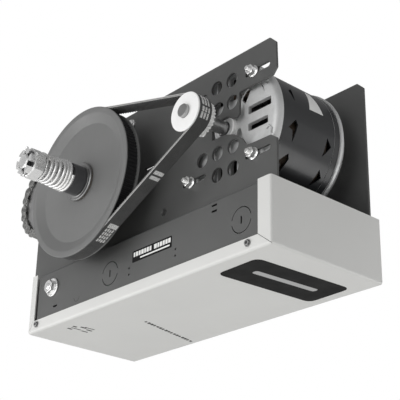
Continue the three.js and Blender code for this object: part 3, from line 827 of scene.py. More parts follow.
def link_plate(start, end, half, waist, y0, y1, count=9):
    """A chain side plate between two pins, narrowed in the middle."""
    along = (end - start).normalized()
    across = Vector((-along.y, along.x))
    loop = []
    for i in range(count):
        angle = math.radians(-105 + 210 * i / (count - 1))
        loop.append(end + along * math.cos(angle) * half + across * math.sin(angle) * half)
    middle = (start + end) / 2
    loop.append(middle + across * waist)
    for i in range(count):
        angle = math.radians(-105 + 210 * i / (count - 1))
        loop.append(start - along * math.cos(angle) * half - across * math.sin(angle) * half)
    loop.append(middle - across * waist)
    return prism([[tuple(p) for p in loop]], y0, y1)


class ChainRun:
    """Where the pins of a roller chain sit round two sprockets. Wheel a has pin 0 at its first contact."""

    def __init__(self, a, b, pitch, teeth_a, teeth_b):
        ra = pitch / (2 * math.sin(math.pi / teeth_a))
        rb = pitch / (2 * math.sin(math.pi / teeth_b))
        self.path = Loop(a, b, ra, rb)
        on_a = self.path.arc_a / ra * teeth_a / TAU
        on_b = self.path.arc_b / rb * teeth_b / TAU
        self.links = round(on_a + on_b + 2 * self.path.straight / pitch)
        side = (self.links - on_a - on_b) / 2
        self.marks = [on_a, side, on_b, side]
        self.spans = [self.path.arc_a, self.path.straight, self.path.arc_b, self.path.straight]
        self.phase_a = self.path.start_a
        first = math.ceil(on_a + side) - (on_a + side)
        self.phase_b = self.path.start_b + first * TAU / teeth_b

    def pin(self, index):
        u = index % self.links
        s = 0.0
        for mark, span in zip(self.marks, self.spans):
            if u <= mark:
                return self.path.at(s + span * u / mark)[0]
            u -= mark
            s += span
        return self.path.at(0.0)[0]

    def shape(self, half, waist, roller, inner, outer, pin_radius, pin_half, y):
        """Rollers tagged 0 and plates tagged 1, centred on the plane y."""
        parts = []
        for k in range(self.links):
            here = self.pin(k)
            there = self.pin(k + 1)
            parts.append(rod(roller, y - inner[0], y + inner[0], 16).at(here.x, 0, here.y))
            parts.append(rod(pin_radius, y - pin_half, y + pin_half, 12).at(here.x, 0, here.y))
            near, far = inner if k % 2 else outer
            for side in (-1, 1):
                low, high = sorted((y + side * near, y + side * far))
                parts.append(link_plate(here, there, half, waist, low, high).tagged(1))
        return joined(parts)


DRIVE_RUN = ChainRun(OUTPUT, CLUTCH, CHAIN["pitch"], CHAIN["driven"], CHAIN["pinion"])
LIMIT_RUN = ChainRun(OUTPUT, LIMIT, LIMIT_CHAIN["pitch"], LIMIT_CHAIN["teeth"], LIMIT_CHAIN["teeth"])
BELT_BIG = BELT["big"] * BELT["pitch"] / TAU
BELT_SMALL = BELT["small"] * BELT["pitch"] / TAU
BELT_RUN = Loop(CLUTCH, MOTOR, BELT_BIG, BELT_SMALL)


# ---------------------------------------------------------------- cover
def cover_shell():
    x, y, top, sheet = COVER["x"], COVER["y"], COVER["top"], COVER["sheet"]
    left, right, lip = -x + COVER["left_lip"], x - COVER["right_lip"], COVER["lip"]
    tray = folded_tray("cover_shell", (-x, -y, 0), (x, y, top), sheet, COVER["bend"], True)
    cutters = []
    for side in (-1, 1):
        wall = sorted((side * (y - sheet - 1), side * (y + 1)))
        cutters.append(prism([rounded(rectangle(left, right, lip, top + 6), 0.8)], *wall))
        for corner_x, window_x in ((x, right), (-x, left)):
            out = 1 if corner_x > 0 else -1
            seam = [(window_x - out, lip + 1), (corner_x - out * 0.4, 0.9)]
            along = (Vector(seam[1]) - Vector(seam[0])).normalized()
            across = Vector((-along.y, along.x)) * 0.32
            ends = ((seam[0], -1), (seam[1], -1), (seam[1], 1), (seam[0], 1))
            loop = [tuple(Vector(point) + across * part) for point, part in ends]
            cutters.append(prism([loop], *wall))
            cutters.append(rod(1.15, *wall, 16).at(corner_x - out * 1.0, 0, 1.0))
        for screw_x in SCREW_X:
            cutters.append(rod(SCREW_HOLE, *wall, 24).at(screw_x, 0, SCREW_Z))
    place("cover_shell", carved("cover_shell", tray, cutters), "frame", "cover_paint", ["bottom_cover"],
          bevel=0.3, angle=40)


def underside_film(name, outline, thickness, paint, lift=0.0):
    """A thin label on the cover's underside: outline points are (x, y)."""
    low, high = -(thickness + lift), -lift
    plate = prism([outline], low, high)
    swapped = Shape([(x, z, y) for x, y, z in plate.verts], plate.faces)
    make(name, swapped, "frame", "black_plastic", bevel=0.0, paints=(paint,))


def cover_labels():
    badge = rounded([(118, -68), (184, -70), (191, 72), (126, 74)], 11, 8)
    underside_film("cover_badge", badge, 0.2, "black_film", 0.02)
    bar = rounded([(148, -44), (157, -44.3), (163.5, 49), (154.5, 49.3)], 4, 6)
    underside_film("cover_badge_bar", bar, 0.06, "silver_film", 0.22)
    for i in range(17):
        start = -17 + i * 5.8
        middle_x = -70 - (start + 17) * 0.228
        width = 4.4 if i % 3 else 3.2
        half = 2.5 if i % 4 else 2.0
        dash = rounded([(middle_x - half, start), (middle_x + half, start),
                        (middle_x + half - 0.9, start + width), (middle_x - half - 0.9, start + width)], 0.25)
        underside_film(f"cover_dash_{i:02d}", dash, 0.05, "grey_film", 0.02)
    marks = ((-164, -70, 7, 3.2), (-158, -68, 15, 2.0), (-152.5, -70, 6, 3.4), (-148, -61, 9, 3.2), (-160,
             -51, 10, 2.6), (-152, -49, 9, 3.0), (-144.5, -56, 15, 2.0))
    for i, (x, y, length, width) in enumerate(marks):
        strip = rounded([(x, y), (x + width, y), (x + width, y + length), (x, y + length)], 0.4)
        underside_film(f"cover_mark_{i}", strip, 0.05, "grey_film", 0.02)


def cover_screws():
    names = {("near", 0): ["cover_screw_left"], ("near", 1): ["cover_screw_right"]}
    for side, seat in (("near", -90.3), ("far", 90.3)):
        out = -1 if side == "near" else 1
        for k, x in enumerate(SCREW_X):
            washer = ring(2.2, 4.3, seat, seat + out * 0.7, 32)
            head = hexagon(3.5, seat + out * 0.7, seat + out * 2.5)
            shank = rod(1.9, seat - out * 6, seat, 16)
            # Painted shade: a black disc on the head stands for the dark socket recess.
            socket = rod(1.7, *sorted((seat + out * 2.3, seat + out * 2.56)), 24).tagged(1)
            make(f"cover_screw_{side}_{k}", (washer + head + shank + socket).at(x, 0, SCREW_Z), "frame",
                 "zinc", names.get((side, k), ()), bevel=0.12, paints=("worn_zinc", "black_plastic"))


# ---------------------------------------------------------------- control box
def box_shell():
    y = BOX["y"]
    tray = folded_tray("box_shell", (BOX["left"], -y, BOX["bottom"]), (BOX["right"], y, BOX["top"]),
                       BOX["sheet"], BOX["bend"], False)
    wall = (-y - 1, -y + BOX["sheet"] + 1)
    cutters = []
    for x, z in KNOCKOUTS:
        for start in (12, 192):
            arc = [math.radians(start + i * 156 / 30) for i in range(31)]
            outer = [(x + 15.5 * math.cos(a), z + 15.5 * math.sin(a)) for a in arc]
            inner = [(x + 14.5 * math.cos(a), z + 14.5 * math.sin(a)) for a in reversed(arc)]
            cutters.append(prism([outer + inner], *wall))
        cutters.append(prism([rounded(rectangle(x - 1.1, x + 1.1, z - 4.5, z + 4.5), 0.6)], *wall))
    for x, z in ((-15.5, 37.5), (-15.5, 29.5), (69.3, 38), (69.3, 30)):
        cutters.append(rod(1.4, *wall, 20).at(x, 0, z))
    for x, z in ((134.5, 72), (134.5, 65), (-168, 27)):
        cutters.append(prism([slot_loop(x, z, 9, 2.6)], *wall))
    cutters.append(rod(5.3, *wall, 32).at(BOLT[0], 0, BOLT[1]))
    for x in SCREW_X:
        cutters.append(rod(SCREW_HOLE, -y - 1, -y + 3, 24).at(x, 0, SCREW_Z))
        cutters.append(rod(SCREW_HOLE, y - 3, y + 1, 24).at(x, 0, SCREW_Z))
    cutters.append(cuboid((-203, -143), (44, 56), (BOX["top"] - 3, BOX["top"] + 1)))
    wire_hole = ring(0.001, 11, 0, 5, 40)
    upright = Shape([(x + 20, z, y + BOX["top"] - 3) for x, y, z in wire_hole.verts], wire_hole.faces)
    cutters.append(upright)
    place("box_shell", carved("box_shell", tray, cutters), "frame", "frame_paint", ["control_box"],
          bevel=0.2, angle=40)


def near_film(name, outline, thickness, paint, lift=0.02):
    """A thin label on the box's belt-side wall."""
    face = -BOX["y"] - lift
    make(name, prism([outline], face - thickness, face), "frame", "black_plastic", bevel=0.0,
         paints=(paint,))


def box_labels():
    near_film("box_label", rounded([(-10, 42.5), (62.5, 42.5), (62.5, 57), (-10, 57)], 1.2), 0.15,
              "black_film")
    spans = ((-7.5, 3.0), (-3.5, 4.4), (1.9, 3.8), (6.7, 4.6), (12.3, 3.4), (16.7, 4.4), (22.1, 3.6), (30.5,
             5.2), (36.7, 3.2), (40.9, 4.4), (46.3, 3.8), (51.1, 4.0), (56.1, 4.4))
    for i, (x, width) in enumerate(spans):
        block = rounded(rectangle(x, x + width, 49.2, 55), 0.7)
        near_film(f"box_label_block_{i:02d}", block, 0.05, "white_film", 0.17)
    near_film("box_label_bar", rounded(rectangle(5, 59, 44.9, 46.8), 0.6), 0.05, "white_film", 0.17)
    arc = [math.radians(200 + i * 10) for i in range(15)]
    outer = [(-121 + 6.4 * math.cos(a), 30 + 8.5 * math.sin(a)) for a in arc]
    inner = [(-121 + 5.8 * math.cos(a), 30 + 7.9 * math.sin(a)) for a in reversed(arc)]
    near_film("box_faint_mark", outer + inner, 0.04, "grey_film")


def box_bolt():
    seat = -BOX["y"] - GAP
    washer = lathe([(5, seat), (12.5, seat), (12.5, seat - 1.1), (11.9, seat - 1.8), (5, seat - 1.8)], 64)
    head = hexagon(9.2, seat - 1.8, seat - 7.9, phase=0.3)
    collar = rod(8.6, seat - 2.6, seat - 1.6, 48)
    button = dome(4.6, 0.7, seat - 7.9)
    shank = thread(5, 1.6, seat, seat + 12)
    make("box_bolt_head", (washer + head + collar + button + shank).at(BOLT[0], 0, BOLT[1]), "frame",
         "zinc", ["box_bolt"], bevel=0.25)


# ---------------------------------------------------------------- frame plates
NEAR_OUTLINE = ( (-221, 78.3), (220.5, 78.3), (220.5, 130), (211.5, 136.5), (182.5, 137), (172, 138.5),
                (165.5, 149.5), (153, 158.8), (141, 163), (136, 164.5), (115, 164.5), (115, 186.5), (141,
                186.5), (148, 181.5), (156, 180), (161, 183), (161, 211.3), (214.5, 211.5), (221.5, 219.5),
                (220.5, 253), (211.5, 262), (-190, 262), (-233, 222), (-233, 150), (-240, 144), (-240, 81),
                (-221, 81), )
FAR_OUTLINE = (
    (-221, 78.3), (221, 78.3), (221, 253), (212, 262), (-190, 262), (-233, 222), (-233, 150), (-240, 144),
    (-240, 81), (-221, 81),
)


def shaft_holes():
    holes = [circle(wheel["x"], wheel["z"], SHAFT + 1.5, 64) for wheel in (CLUTCH, OUTPUT)]
    return holes + [circle(x, z, 4.5, 32) for x, z in TIE_RODS.values()]


def near_plate():
    low, high = PLATE["front"], PLATE["front"] + PLATE["thickness"]
    x1, x2, x3 = 98.5, 124.8, 151
    z1, z2, z3, z4 = 116.7, 144.7, 202.8, 232.5
    spots = ((x2, z1), (x3, z1), (x1, z2), (x2, z2), (x3, z2), (x2, z3), (x3 - 2, z3), (x2 - 3, z4),
             (x3 - 3, z4))
    holes = [circle(x, z, 9.2, 64) for x, z in spots]
    for sx, sz in MOTOR_CORNERS.values():
        reach = MOTOR["bolt"]
        holes.append(slot_loop(MOTOR["x"] + sx * reach + 6.5, MOTOR["z"] + sz * reach, 40, 7))
    holes.append(rounded(rectangle(-9, 22, 168.5, 171.5), 1.2))
    plate = prism([rounded(NEAR_OUTLINE, 1.2), *holes, *shaft_holes()], low, high)
    foot = cuboid((-200, 205), (low + 1, high + 15), (PLATE["bottom"], PLATE["bottom"] + 3))
    make("plate_near", plate + foot, "frame", "frame_paint", ["near_plate"], bevel=0.35)


def plate_screw():
    seat = PLATE["front"]
    shape = ring(1.5, 5.4, seat - 0.9, seat + 0.1, 40) + hexagon(4.1, seat - 0.9, seat - 4.4, phase=0.4)
    make("plate_screw", shape.at(100, 0, 180.5), "frame", "zinc", bevel=0.15)


def far_plate():
    low, high = PLATE["back"] - PLATE["thickness"], PLATE["back"]
    holes = [circle(x, 235, 5.5, 40) for x in (-150, -90, 20, 90)]
    holes.append(circle(MOTOR["x"], MOTOR["z"], 30, 96))
    plate = prism([rounded(FAR_OUTLINE, 1.2), *holes, *shaft_holes()], low, high)
    foot = cuboid((-200, 205), (low - 15, high - 1), (PLATE["bottom"], PLATE["bottom"] + 3))
    make("plate_far", plate + foot, "frame", "frame_paint", ["far_plate"], bevel=0.35)


def tie_rods():
    inner, seat = PLATE["front"] + PLATE["thickness"] + GAP, PLATE["front"] - GAP
    back_inner, back = PLATE["back"] - PLATE["thickness"] - GAP, PLATE["back"] - GAP
    bar = lathe([(0, seat), (4, seat), (4, inner), (6.4, inner), (7, inner + 0.6), (7, back_inner - 0.6),
                 (6.4, back_inner), (4, back_inner), (4, back), (0, back)], 48)
    looks = (("zinc", "zinc", 1.0), ("black_oxide", "frame_paint", 0.55))
    for (node, (x, z)), (slot, paint, size) in zip(TIE_RODS.items(), looks):
        washer = ring(3.2, 6.5 * size, seat, seat - 0.8, 40)
        head = hexagon(5.9 * size, seat - 0.8, seat - 3.4) + dome(2.6 * size, 0.8, seat - 3.2)
        shape = (bar + washer + head).at(x, 0, z)
        make(f"{node}_bar", shape, "frame", slot, [node], bevel=0.15, paints=(paint,))


# ---------------------------------------------------------------- motor
def at_motor(shape):
    return shape.at(MOTOR["x"], 0, MOTOR["z"])


def carve_at_motor(name, shape, cutters, slot, node, bevel, angle):
    mesh = carved(name, mesh_from(name + "_solid", shape), cutters)
    mesh.transform(Matrix.Translation(Vector((MOTOR["x"], 0, MOTOR["z"])) * MM))
    place(name, mesh, "frame", slot, [node], bevel=bevel, angle=angle)


def motor_front_bell():
    boss, face, back, radius = BELL["boss"], BELL["face"], BELL["back"], MOTOR["radius"]
    body = lathe([(9.5, boss), (14.3, boss), (14.8, boss + 0.5), (16, face - 1.2), (17.5, face - 0.2), (75,
                 face), (78.5, face + 0.6), (81.4, face + 2.4), (radius, face + 5), (radius, back), (79,
                 back), (76, face + 5), (22, face + 5), (22, -53), (18, -53), (18, -63.2), (9.5, -63.2)],
                 128)
    pads = [rod(9, -72.7, face + 2, 40).at(MOTOR["bolt"] * sx, 0, MOTOR["bolt"] * sz) for sx,
            sz in MOTOR_CORNERS.values()]
    cutters = []
    for quarter in range(4):
        for low, high, start, end in ((6.6, 17.2, 35.4, 72.1), (-15.2, -5.4, 35.4, 67.1)):
            hole = prism([rounded(rectangle(start, end, low, high), 1.6)], face - 4, face + 8)
            cutters.append(hole.spun(quarter * TAU / 4))
    slot = [(21.3, 34.5), (30.7, 23.1), (42, 42.5), (21.3, 42)]
    low_slot = [(18, -5.5), (22.8, -5.5), (27, -19.5), (21.6, -24), (11, -17.8), (16.2, -11.5)]
    lug = circle(66.7, 37.6, 2.6, 20)
    crack = [(54.5, 40.5), (62.4, 26.6), (58.0, 40.5)]
    for loop in (slot, low_slot):
        cutters.append(prism([loop], face - 4, face + 8))
    for loop in (lug, crack):
        cutters.append(prism([loop], face - 4, face + 2))
    carve_at_motor("motor_bell_front", joined([body, *pads]), cutters, "cast_aluminium", "motor_front_bell",
                   0.6, 35)
    boss_ring = lathe([(14.2, boss + 0.2), (14.6, boss - 0.1), (16.4, boss - 0.1), (16.8, boss + 0.3),
                      (16.8, face + 0.2), (14.2, face + 0.2)], 96)
    make("motor_boss_ring", at_motor(boss_ring), "frame", "cast_aluminium", bevel=0.15,
         paints=("bright_alloy",))
    # Painted highlight: a thin bright wire along the diagonal slot's edge stands for the light the edge
    # catches.
    rim = [(22.3, face + 1.2, 28.8), (26.2, face + 0.6, 34.5), (30.6, face + 0.4, 38.8), (35.0, face + 0.8,
           41.2)]
    make("motor_slot_edge_highlight", at_motor(sweep(rim, 0.8, 10)), "frame", "cast_aluminium", bevel=0.0,
         paints=("bright_alloy",))
    clip = [(65.0, face - 0.9, -22.4), (69.4, face - 1.1, -20.4), (73.0, face - 1.1, -24.6), (71.8,
            face - 1.1, -31.0), (75.4, face - 0.4, -33.4)]
    make("motor_lead_clip", at_motor(sweep(clip, 1.15, 10)), "frame", "cast_aluminium", bevel=0.0)


# Cooling openings of the motor shell as (degrees round it, y) corners, front row then back row.
SHORT_VENT = ((25.5, -39.7), (29.1, -33.1), (14.2, -34.3))
FRONT_VENT = ((-12.8, -45.8), (-3.6, -35.3), (-7.6, -31.7), (-23.7, -36.1), (-13.9, -39.4))
BACK_VENT = ((-6.8, 17.5), (-13.2, 25.3), (-24.0, 14.0))


def vent_cutter(corners, turn):
    """A tool that goes through the shell wall, with its outline wrapped round the shell."""
    tool = prism([[(angle - turn, y) for angle, y in corners]], 74, 86)
    verts = []
    for angle, radius, y in tool.verts:
        verts.append((radius * math.cos(math.radians(angle)), y, radius * math.sin(math.radians(angle))))
    return Shape(verts, tool.faces)


def motor_shell():
    front, back, radius = BELL["back"] + GAP, REAR["front"] - GAP, MOTOR["shell"]
    body = lathe([(78.5, front), (radius, front), (radius, back), (78.5, back)], 128)
    cutters = [vent_cutter(SHORT_VENT, 0)]
    cutters += [vent_cutter(FRONT_VENT, 29.3 * i) for i in range(10)]
    cutters += [vent_cutter(BACK_VENT, 27.5 * i) for i in range(10)]
    carve_at_motor("motor_shell_skin", body, cutters, "motor_paint", "motor_shell", 0.25, 40)


def motor_sticker():
    """A blank rating label bent round the shell."""
    radius = MOTOR["shell"] + 0.05
    corners = ((39.5, -1.0), (38.5, 6.5), (13.5, 13.0), (13.0, -10.5))
    verts = []
    count = 14
    for lift in (0.0, 0.18):
        for i in range(count + 1):
            t = i / count
            for start, end in ((corners[0], corners[3]), (corners[1], corners[2])):
                angle = math.radians(start[0] + (end[0] - start[0]) * t)
                y = start[1] + (end[1] - start[1]) * t
                verts.append(((radius + lift) * math.cos(angle), y, (radius + lift) * math.sin(angle)))
    layer = 2 * (count + 1)
    faces = []
    for i in range(count):
        a = 2 * i
        faces.append((a, a + 1, a + 3, a + 2))
        faces.append((a + layer + 2, a + layer + 3, a + layer + 1, a + layer))
        faces.append((a, a + 2, a + layer + 2, a + layer))
        faces.append((a + 3, a + 1, a + layer + 1, a + layer + 3))
    faces.append((0, layer, layer + 1, 1))
    end = 2 * count
    faces.append((end, end + 1, end + layer + 1, end + layer))
    make("motor_sticker", at_motor(Shape(verts, faces)), "frame", "cover_paint", bevel=0.0,
         paints=("white_film",))


def motor_rear_bell():
    front, back, radius = REAR["front"], REAR["back"], MOTOR["radius"]
    body = lathe([(79, front), (80.8, front), (80.8, front + 9), (radius - 0.5, front + 9.2), (radius,
                 front + 9.7), (radius, front + 12.9), (radius - 0.8, front + 14), (74, back), (9.5, back),
                 (9.5, 48), (18, 48), (18, 39), (22, 39), (22, back - 3.5), (72, back - 3.5), (79,
                 front + 12)], 128)
    cutters = []
    for i in range(8):
        cutters.append(prism([slot_loop(49, 0, 26, 8)], back - 8, back + 2).spun(i * TAU / 8))
    carve_at_motor("motor_bell_rear", body, cutters, "cast_aluminium", "motor_rear_bell", 0.6, 35)
    screen = ring(22.6, 71.5, back - 4.2, back - 3.8, 96)
    make("motor_rear_screen", at_motor(screen), "frame", "black_plastic", bevel=0.0)
    band_ring = ring(80.5, 80.95, front + 0.02, front + 8.7, 128)
    make("motor_rear_band", at_motor(band_ring), "frame", "motor_paint", bevel=0.1)


def motor_nuts():
    seat = PLATE["front"] - GAP
    washer = lathe([(3.2, seat), (7.4, seat), (7.4, seat - 0.8), (5.5, seat - 2), (3.2, seat - 2)], 48)
    stud = thread(3.1, 1.3, seat - 12, PLATE["front"] + PLATE["thickness"] - 0.2, 24)
    for index, (corner, (sx, sz)) in enumerate(MOTOR_CORNERS.items()):
        nut = hexagon(6.4, seat - 1.6, seat - 7.5, bore=3.1, phase=0.35 + 0.4 * index)
        whole = (washer + nut + stud).at(MOTOR["x"] + MOTOR["bolt"] * sx, 0, MOTOR["z"] + MOTOR["bolt"] * sz)
        make(f"motor_nut_{corner}_set", whole, "frame", "zinc", [f"motor_nut_{corner}"], bevel=0.12)


def bearing_ring(name, inner, outer, y0, y1, node):
    """A ball bearing: two races, balls and a shield between them."""
    mid = (inner + outer) / 2
    race = (outer - inner) * 0.22
    races = ring(inner, inner + race, y0, y1, 64) + ring(outer - race, outer, y0, y1, 64)
    shield = ring(inner + race - 0.1, outer - race + 0.1, y0 + 0.9, y1 - 0.9, 64)
    balls = []
    for i in range(9):
        angle = TAU * i / 9
        x, z = mid * math.cos(angle), mid * math.sin(angle)
        balls.append(dome(race * 1.1, race * 1.1, y0 + 1.6, -1, 16).at(x, 0, z))
    make(name, at_motor(joined([races, shield, *balls])), "frame", "steel", [node], bevel=0.15)


def motor_inside():
    teeth = []
    for i in range(24):
        angle = TAU * (i + 0.5) / 24
        teeth.append(cuboid((47.2, 60), (-22, 12), (-4, 4)).spun(angle))
    core = ring(59.8, 78, -22, 12, 128)
    make("stator_stack", at_motor(joined([core, *teeth])), "frame", "laminations", ["stator_core"],
         bevel=0.2)
    for node, low, high in (("stator_winding_front", -44, -22.3), ("stator_winding_rear", 12.3, 25)):
        middle, half = (low + high) / 2, (high - low) / 2
        loops = []
        for i in range(24):
            centre = Vector((63 * math.cos(TAU * i / 24), middle, 63 * math.sin(TAU * i / 24)))
            tangent = Vector((-math.sin(TAU * i / 24), 0, math.cos(TAU * i / 24)))
            path = []
            for k in range(14):
                angle = TAU * k / 14
                rise = Vector((0, (half - 2.2) * math.sin(angle), 0))
                path.append(centre + tangent * 7.5 * math.cos(angle) + rise)
            loops.append(sweep(path, 2.1, 8, True))
        filler = lathe([(54, low + 4), (61, low + 1.5), (70, low + 3), (73, high), (54, high)], 64)
        make(f"{node}_coils", at_motor(joined([filler, *loops])), "frame", "copper", [node], bevel=0.0)
    bearing_ring("bearing_ring_front", 8.3, 17.7, -62.9, -53.3, "motor_bearing_front")
    bearing_ring("bearing_ring_rear", 8.3, 17.7, 39.2, 47.7, "motor_bearing_rear")
    shaft = lathe([(0, -137.5), (7.3, -137.5), (8, -136.8), (8, 49.4), (7.4, 50), (0, 50)], 64)
    make("motor_shaft_bar", at_motor(shaft), "motor_rotor", "steel", ["motor_shaft"], bevel=0.0)
    make("rotor_stack", at_motor(ring(8.3, 46.4, -22, 12, 96)), "motor_rotor", "laminations",
         ["rotor_core"], bevel=0.4)
    plate = lathe([(8.3, 28), (54, 29), (54, 30.5), (14, 30.5), (14, 37), (8.3, 37)], 96)
    blades = [cuboid((13, 53), (30, 37), (-1, 1)).spun(i * TAU / 6) for i in range(6)]
    make("fan_wheel", at_motor(joined([plate, *blades])), "motor_rotor", "black_plastic", ["motor_fan"],
         bevel=0.3)


def motor_pulley():
    """Front flange, toothed track and a hub with a set screw."""
    s_b = BELT_RUN.arc_a + BELT_RUN.straight
    step = BELT_RUN.length / round(BELT_RUN.length / BELT["pitch"])
    first = (math.ceil(s_b / step - 0.5) + 0.5) * step - s_b
    phase = BELT_RUN.start_b + first / BELT_SMALL
    flange = lathe([(8.3, -133.2), (22.6, -133.2), (23.6, -133.0), (24, -132.4), (24, -131.3), (8.3,
                   -131.3)], 128)
    track = prism([gear_loop(BELT["small"], 19.1, 20.68, phase), circle(0, 0, 8.3, 64)], -131.4, -104)
    hub = lathe([(8.3, -104.1), (10.5, -104.1), (10.5, -97.5), (10, -97), (8.3, -97)], 96)
    screw = hexagon(2.4, 0, 1.4)
    side = Shape([(x, -100.5 + z, -10.3 - y) for x, y, z in screw.verts], screw.faces)
    make("motor_pulley_wheel", at_motor(joined([flange, track, hub, side])), "motor_rotor", "bright_alloy",
         ["motor_pulley"], bevel=0.2)


# ---------------------------------------------------------------- clutch pulley and its shaft
def at_clutch(shape):
    return shape.at(CLUTCH["x"], 0, CLUTCH["z"])


def belt_pulley():
    """Dished face, belt groove with its teeth, and a raised hub behind."""
    front, groove, back = -133, BELT["front"] - GAP, BELT["back"] + GAP
    face = [(BORE, -127), (30, -127), (77.5, -127), (79.5, -127.3), (90.6, -132.3), (92, -132.9), (98, front),
            (98.9, front + 0.5), (99, groove), (92.2, groove)]
    rear = [(92.2, back), (96.6, back), (97, back + 0.5), (97, back + 2), (88, back + 2), (87, -120.5), (27,
            -120.5), (27, -110), (BORE, -110)]
    body = lathe(face + rear, 192)
    phase = BELT_RUN.start_a + math.radians(1.5)
    # Painted shade: the groove's teeth are black, standing for the shade in the groove where the belt does
    # not wrap.
    teeth = prism([gear_loop(BELT["big"], 93.1, 93.9, phase), circle(0, 0, 91.5, 120)], groove - 0.1,
                  back + 0.1)
    make("belt_pulley_wheel", at_clutch(body + teeth.tagged(1)), "belt_pulley", "pulley_paint",
         ["driven_pulley"], bevel=0.25, paints=("pulley_paint", "black_plastic"))


def clutch_shaft():
    profile = [(0, -214.5), (8.2, -214.5), (9.2, -213.4)]
    for i in range(12):
        y = -213 + i * 2
        profile += [(9.5, y), (8.7, y + 1)]
    profile += [(9.5, -188), (9.5, -187), (12.2, -187), (12.7, -186.4), (12.7, 81.4), (12.1, 82), (0, 82)]
    hole_free = lathe(profile, 96)
    make("clutch_shaft_bar", at_clutch(hole_free), "clutch_shaft_assembly", "steel", ["clutch_shaft"],
         bevel=0.0, paints=("zinc",))


def clutch_discs():
    body = "clutch_shaft_assembly"
    rounds = (
        ("clutch_friction_disc", 13, 24, -129, -127.3, "lining", 0.15),
        ("clutch_collar", 13, 19, -149.3, -132.3, "black_oxide", 0.5),
        ("clutch_back_disc", 13, 24, -109.7, -108, "lining", 0.15),
        ("clutch_back_flange", 13, 25, -107.7, -105.6, "steel", 0.4),
        ("spring_seat_washer", 9.8, 18.6, -191.3, -189.3, "zinc", 0.3),
    )
    for node, bore, radius, y0, y1, slot, edge in rounds:
        make(f"{node}_turned", at_clutch(ring(bore, radius, y0, y1, 96)), body, slot, [node], bevel=edge)
    plate = lathe([(13, -129.3), (13, -132), (20.5, -132), (20.9, -131.6), (24, -131.6), (25, -130.8), (25,
                  -129.3)], 128)
    make("clutch_pressure_plate_turned", at_clutch(plate), body, "zinc", ["clutch_pressure_plate"],
         bevel=0.12, paints=("worn_zinc",))


def spring_path():
    """Closed coils at both ends and open coils between them, wider towards the collar."""
    wire, steps = 2.1, 48
    start, end = -189 + wire, -149.6 - wire
    closed = 2 * wire + 0.1
    turns = (1.0, 3.3, 2.6)
    pitch = (end - start - closed * (turns[0] + turns[2])) / turns[1]
    points = []
    total = round(sum(turns) * steps)
    y = start
    for i in range(total + 1):
        done = i / steps
        angle = TAU * done + 0.4
        radius = 15.7 + 2.7 * (y - start) / (end - start)
        points.append((radius * math.cos(angle), y, radius * math.sin(angle)))
        ease = min(max((done - turns[0]) / 0.3, 0), 1) * min(max((turns[0] + turns[1] - done) / 0.3, 0), 1)
        y += (closed + (pitch * 1.1 - closed) * ease) / steps
    scale = (end - start) / (y - start)
    return [(x, start + (h - start) * scale, z) for x, h, z in points]


def clutch_spring():
    make("clutch_spring_coil", at_clutch(sweep(spring_path(), 2.1, 16)), "clutch_shaft_assembly", "zinc",
         ["clutch_spring"], bevel=0.0, angle=60)


def castle_nut():
    base = hexagon(19.6, -206, -191.6, bore=9.8, phase=0.35)
    floor = ring(9.8, 16.4, -207.2, -205.5, 96)
    parts = [base, floor]
    for k in range(6):
        start = math.radians(30 + 60 * k)
        stop = start + math.pi / 3
        outer_cut, inner_cut = math.asin(3 / 16.4), math.asin(3 / 9.8)
        outer = [start + outer_cut + (stop - start - 2 * outer_cut) * i / 12 for i in range(13)]
        inner = [start + inner_cut + (stop - start - 2 * inner_cut) * i / 8 for i in range(9)]
        loop = [(16.4 * math.cos(a), 16.4 * math.sin(a)) for a in outer]
        loop += [(9.8 * math.cos(a), 9.8 * math.sin(a)) for a in reversed(inner)]
        parts.append(prism([loop], -213, -207))
    make("castle_nut_body", at_clutch(joined(parts)), "clutch_shaft_assembly", "zinc", ["castle_nut"],
         bevel=0.9)
    # Painted shade: a black liner over the shaft between the crown's posts makes the slots look dark, where
    # shade falls.
    make("castle_nut_shade_liner", at_clutch(ring(9.55, 10.6, -212.6, -207.1, 64)), "clutch_shaft_assembly",
         "zinc", bevel=0.0, paints=("black_plastic",))
    # Painted shade: a dark ring laid on the slot floors stands for the shade in the slots.
    make("castle_nut_shade_floor", at_clutch(ring(10.4, 15.9, -207.45, -207.15, 64)), "clutch_shaft_assembly",
         "zinc", bevel=0.0, paints=("black_oxide",))


def cotter_pin():
    """Two half-round legs through the shaft, with an eye on top and the ends bent outwards."""
    y = -210
    eye = []
    for i in range(15):
        angle = math.radians(-120 + 300 - 300 * i / 14 + 30)
        eye.append((1.9 * math.cos(angle), y, 17.9 + 1.9 * math.sin(angle)))
    left = [(-0.9, y, 16.0), (-0.9, y, 0), (-0.9, y, -17.4), (-1.3, y - 1.0, -18.6), (-1.8, y - 4.2, -18.9)]
    right = [(0.9, y, 16.0), (0.9, y, 0), (0.9, y, -17.4), (1.2, y - 0.6, -18.7), (1.6, y - 2.9, -19.2)]
    shape = sweep(eye, 0.9, 12) + sweep(left, 0.88, 10) + sweep(right, 0.88, 10)
    make("cotter_pin_wire", at_clutch(shape), "clutch_shaft_assembly", "zinc", ["cotter_pin"], bevel=0.0,
         angle=60)


# ---------------------------------------------------------------- sprockets, shafts and bearings
def sprocket(name, wheel, body, node, outline, bore, y, width, hub, hub_y, slot="steel"):
    disc = prism([outline, circle(0, 0, bore, 64)], y - width / 2, y + width / 2)
    low, high = hub_y
    boss = lathe([(bore, low), (hub - 0.6, low), (hub, low + 0.6), (hub, high - 0.6), (hub - 0.6, high),
                 (bore, high)], 96)
    shape = (disc + boss).at(wheel["x"], 0, wheel["z"])
    make(name, shape, body, slot, [node], bevel=0.35)


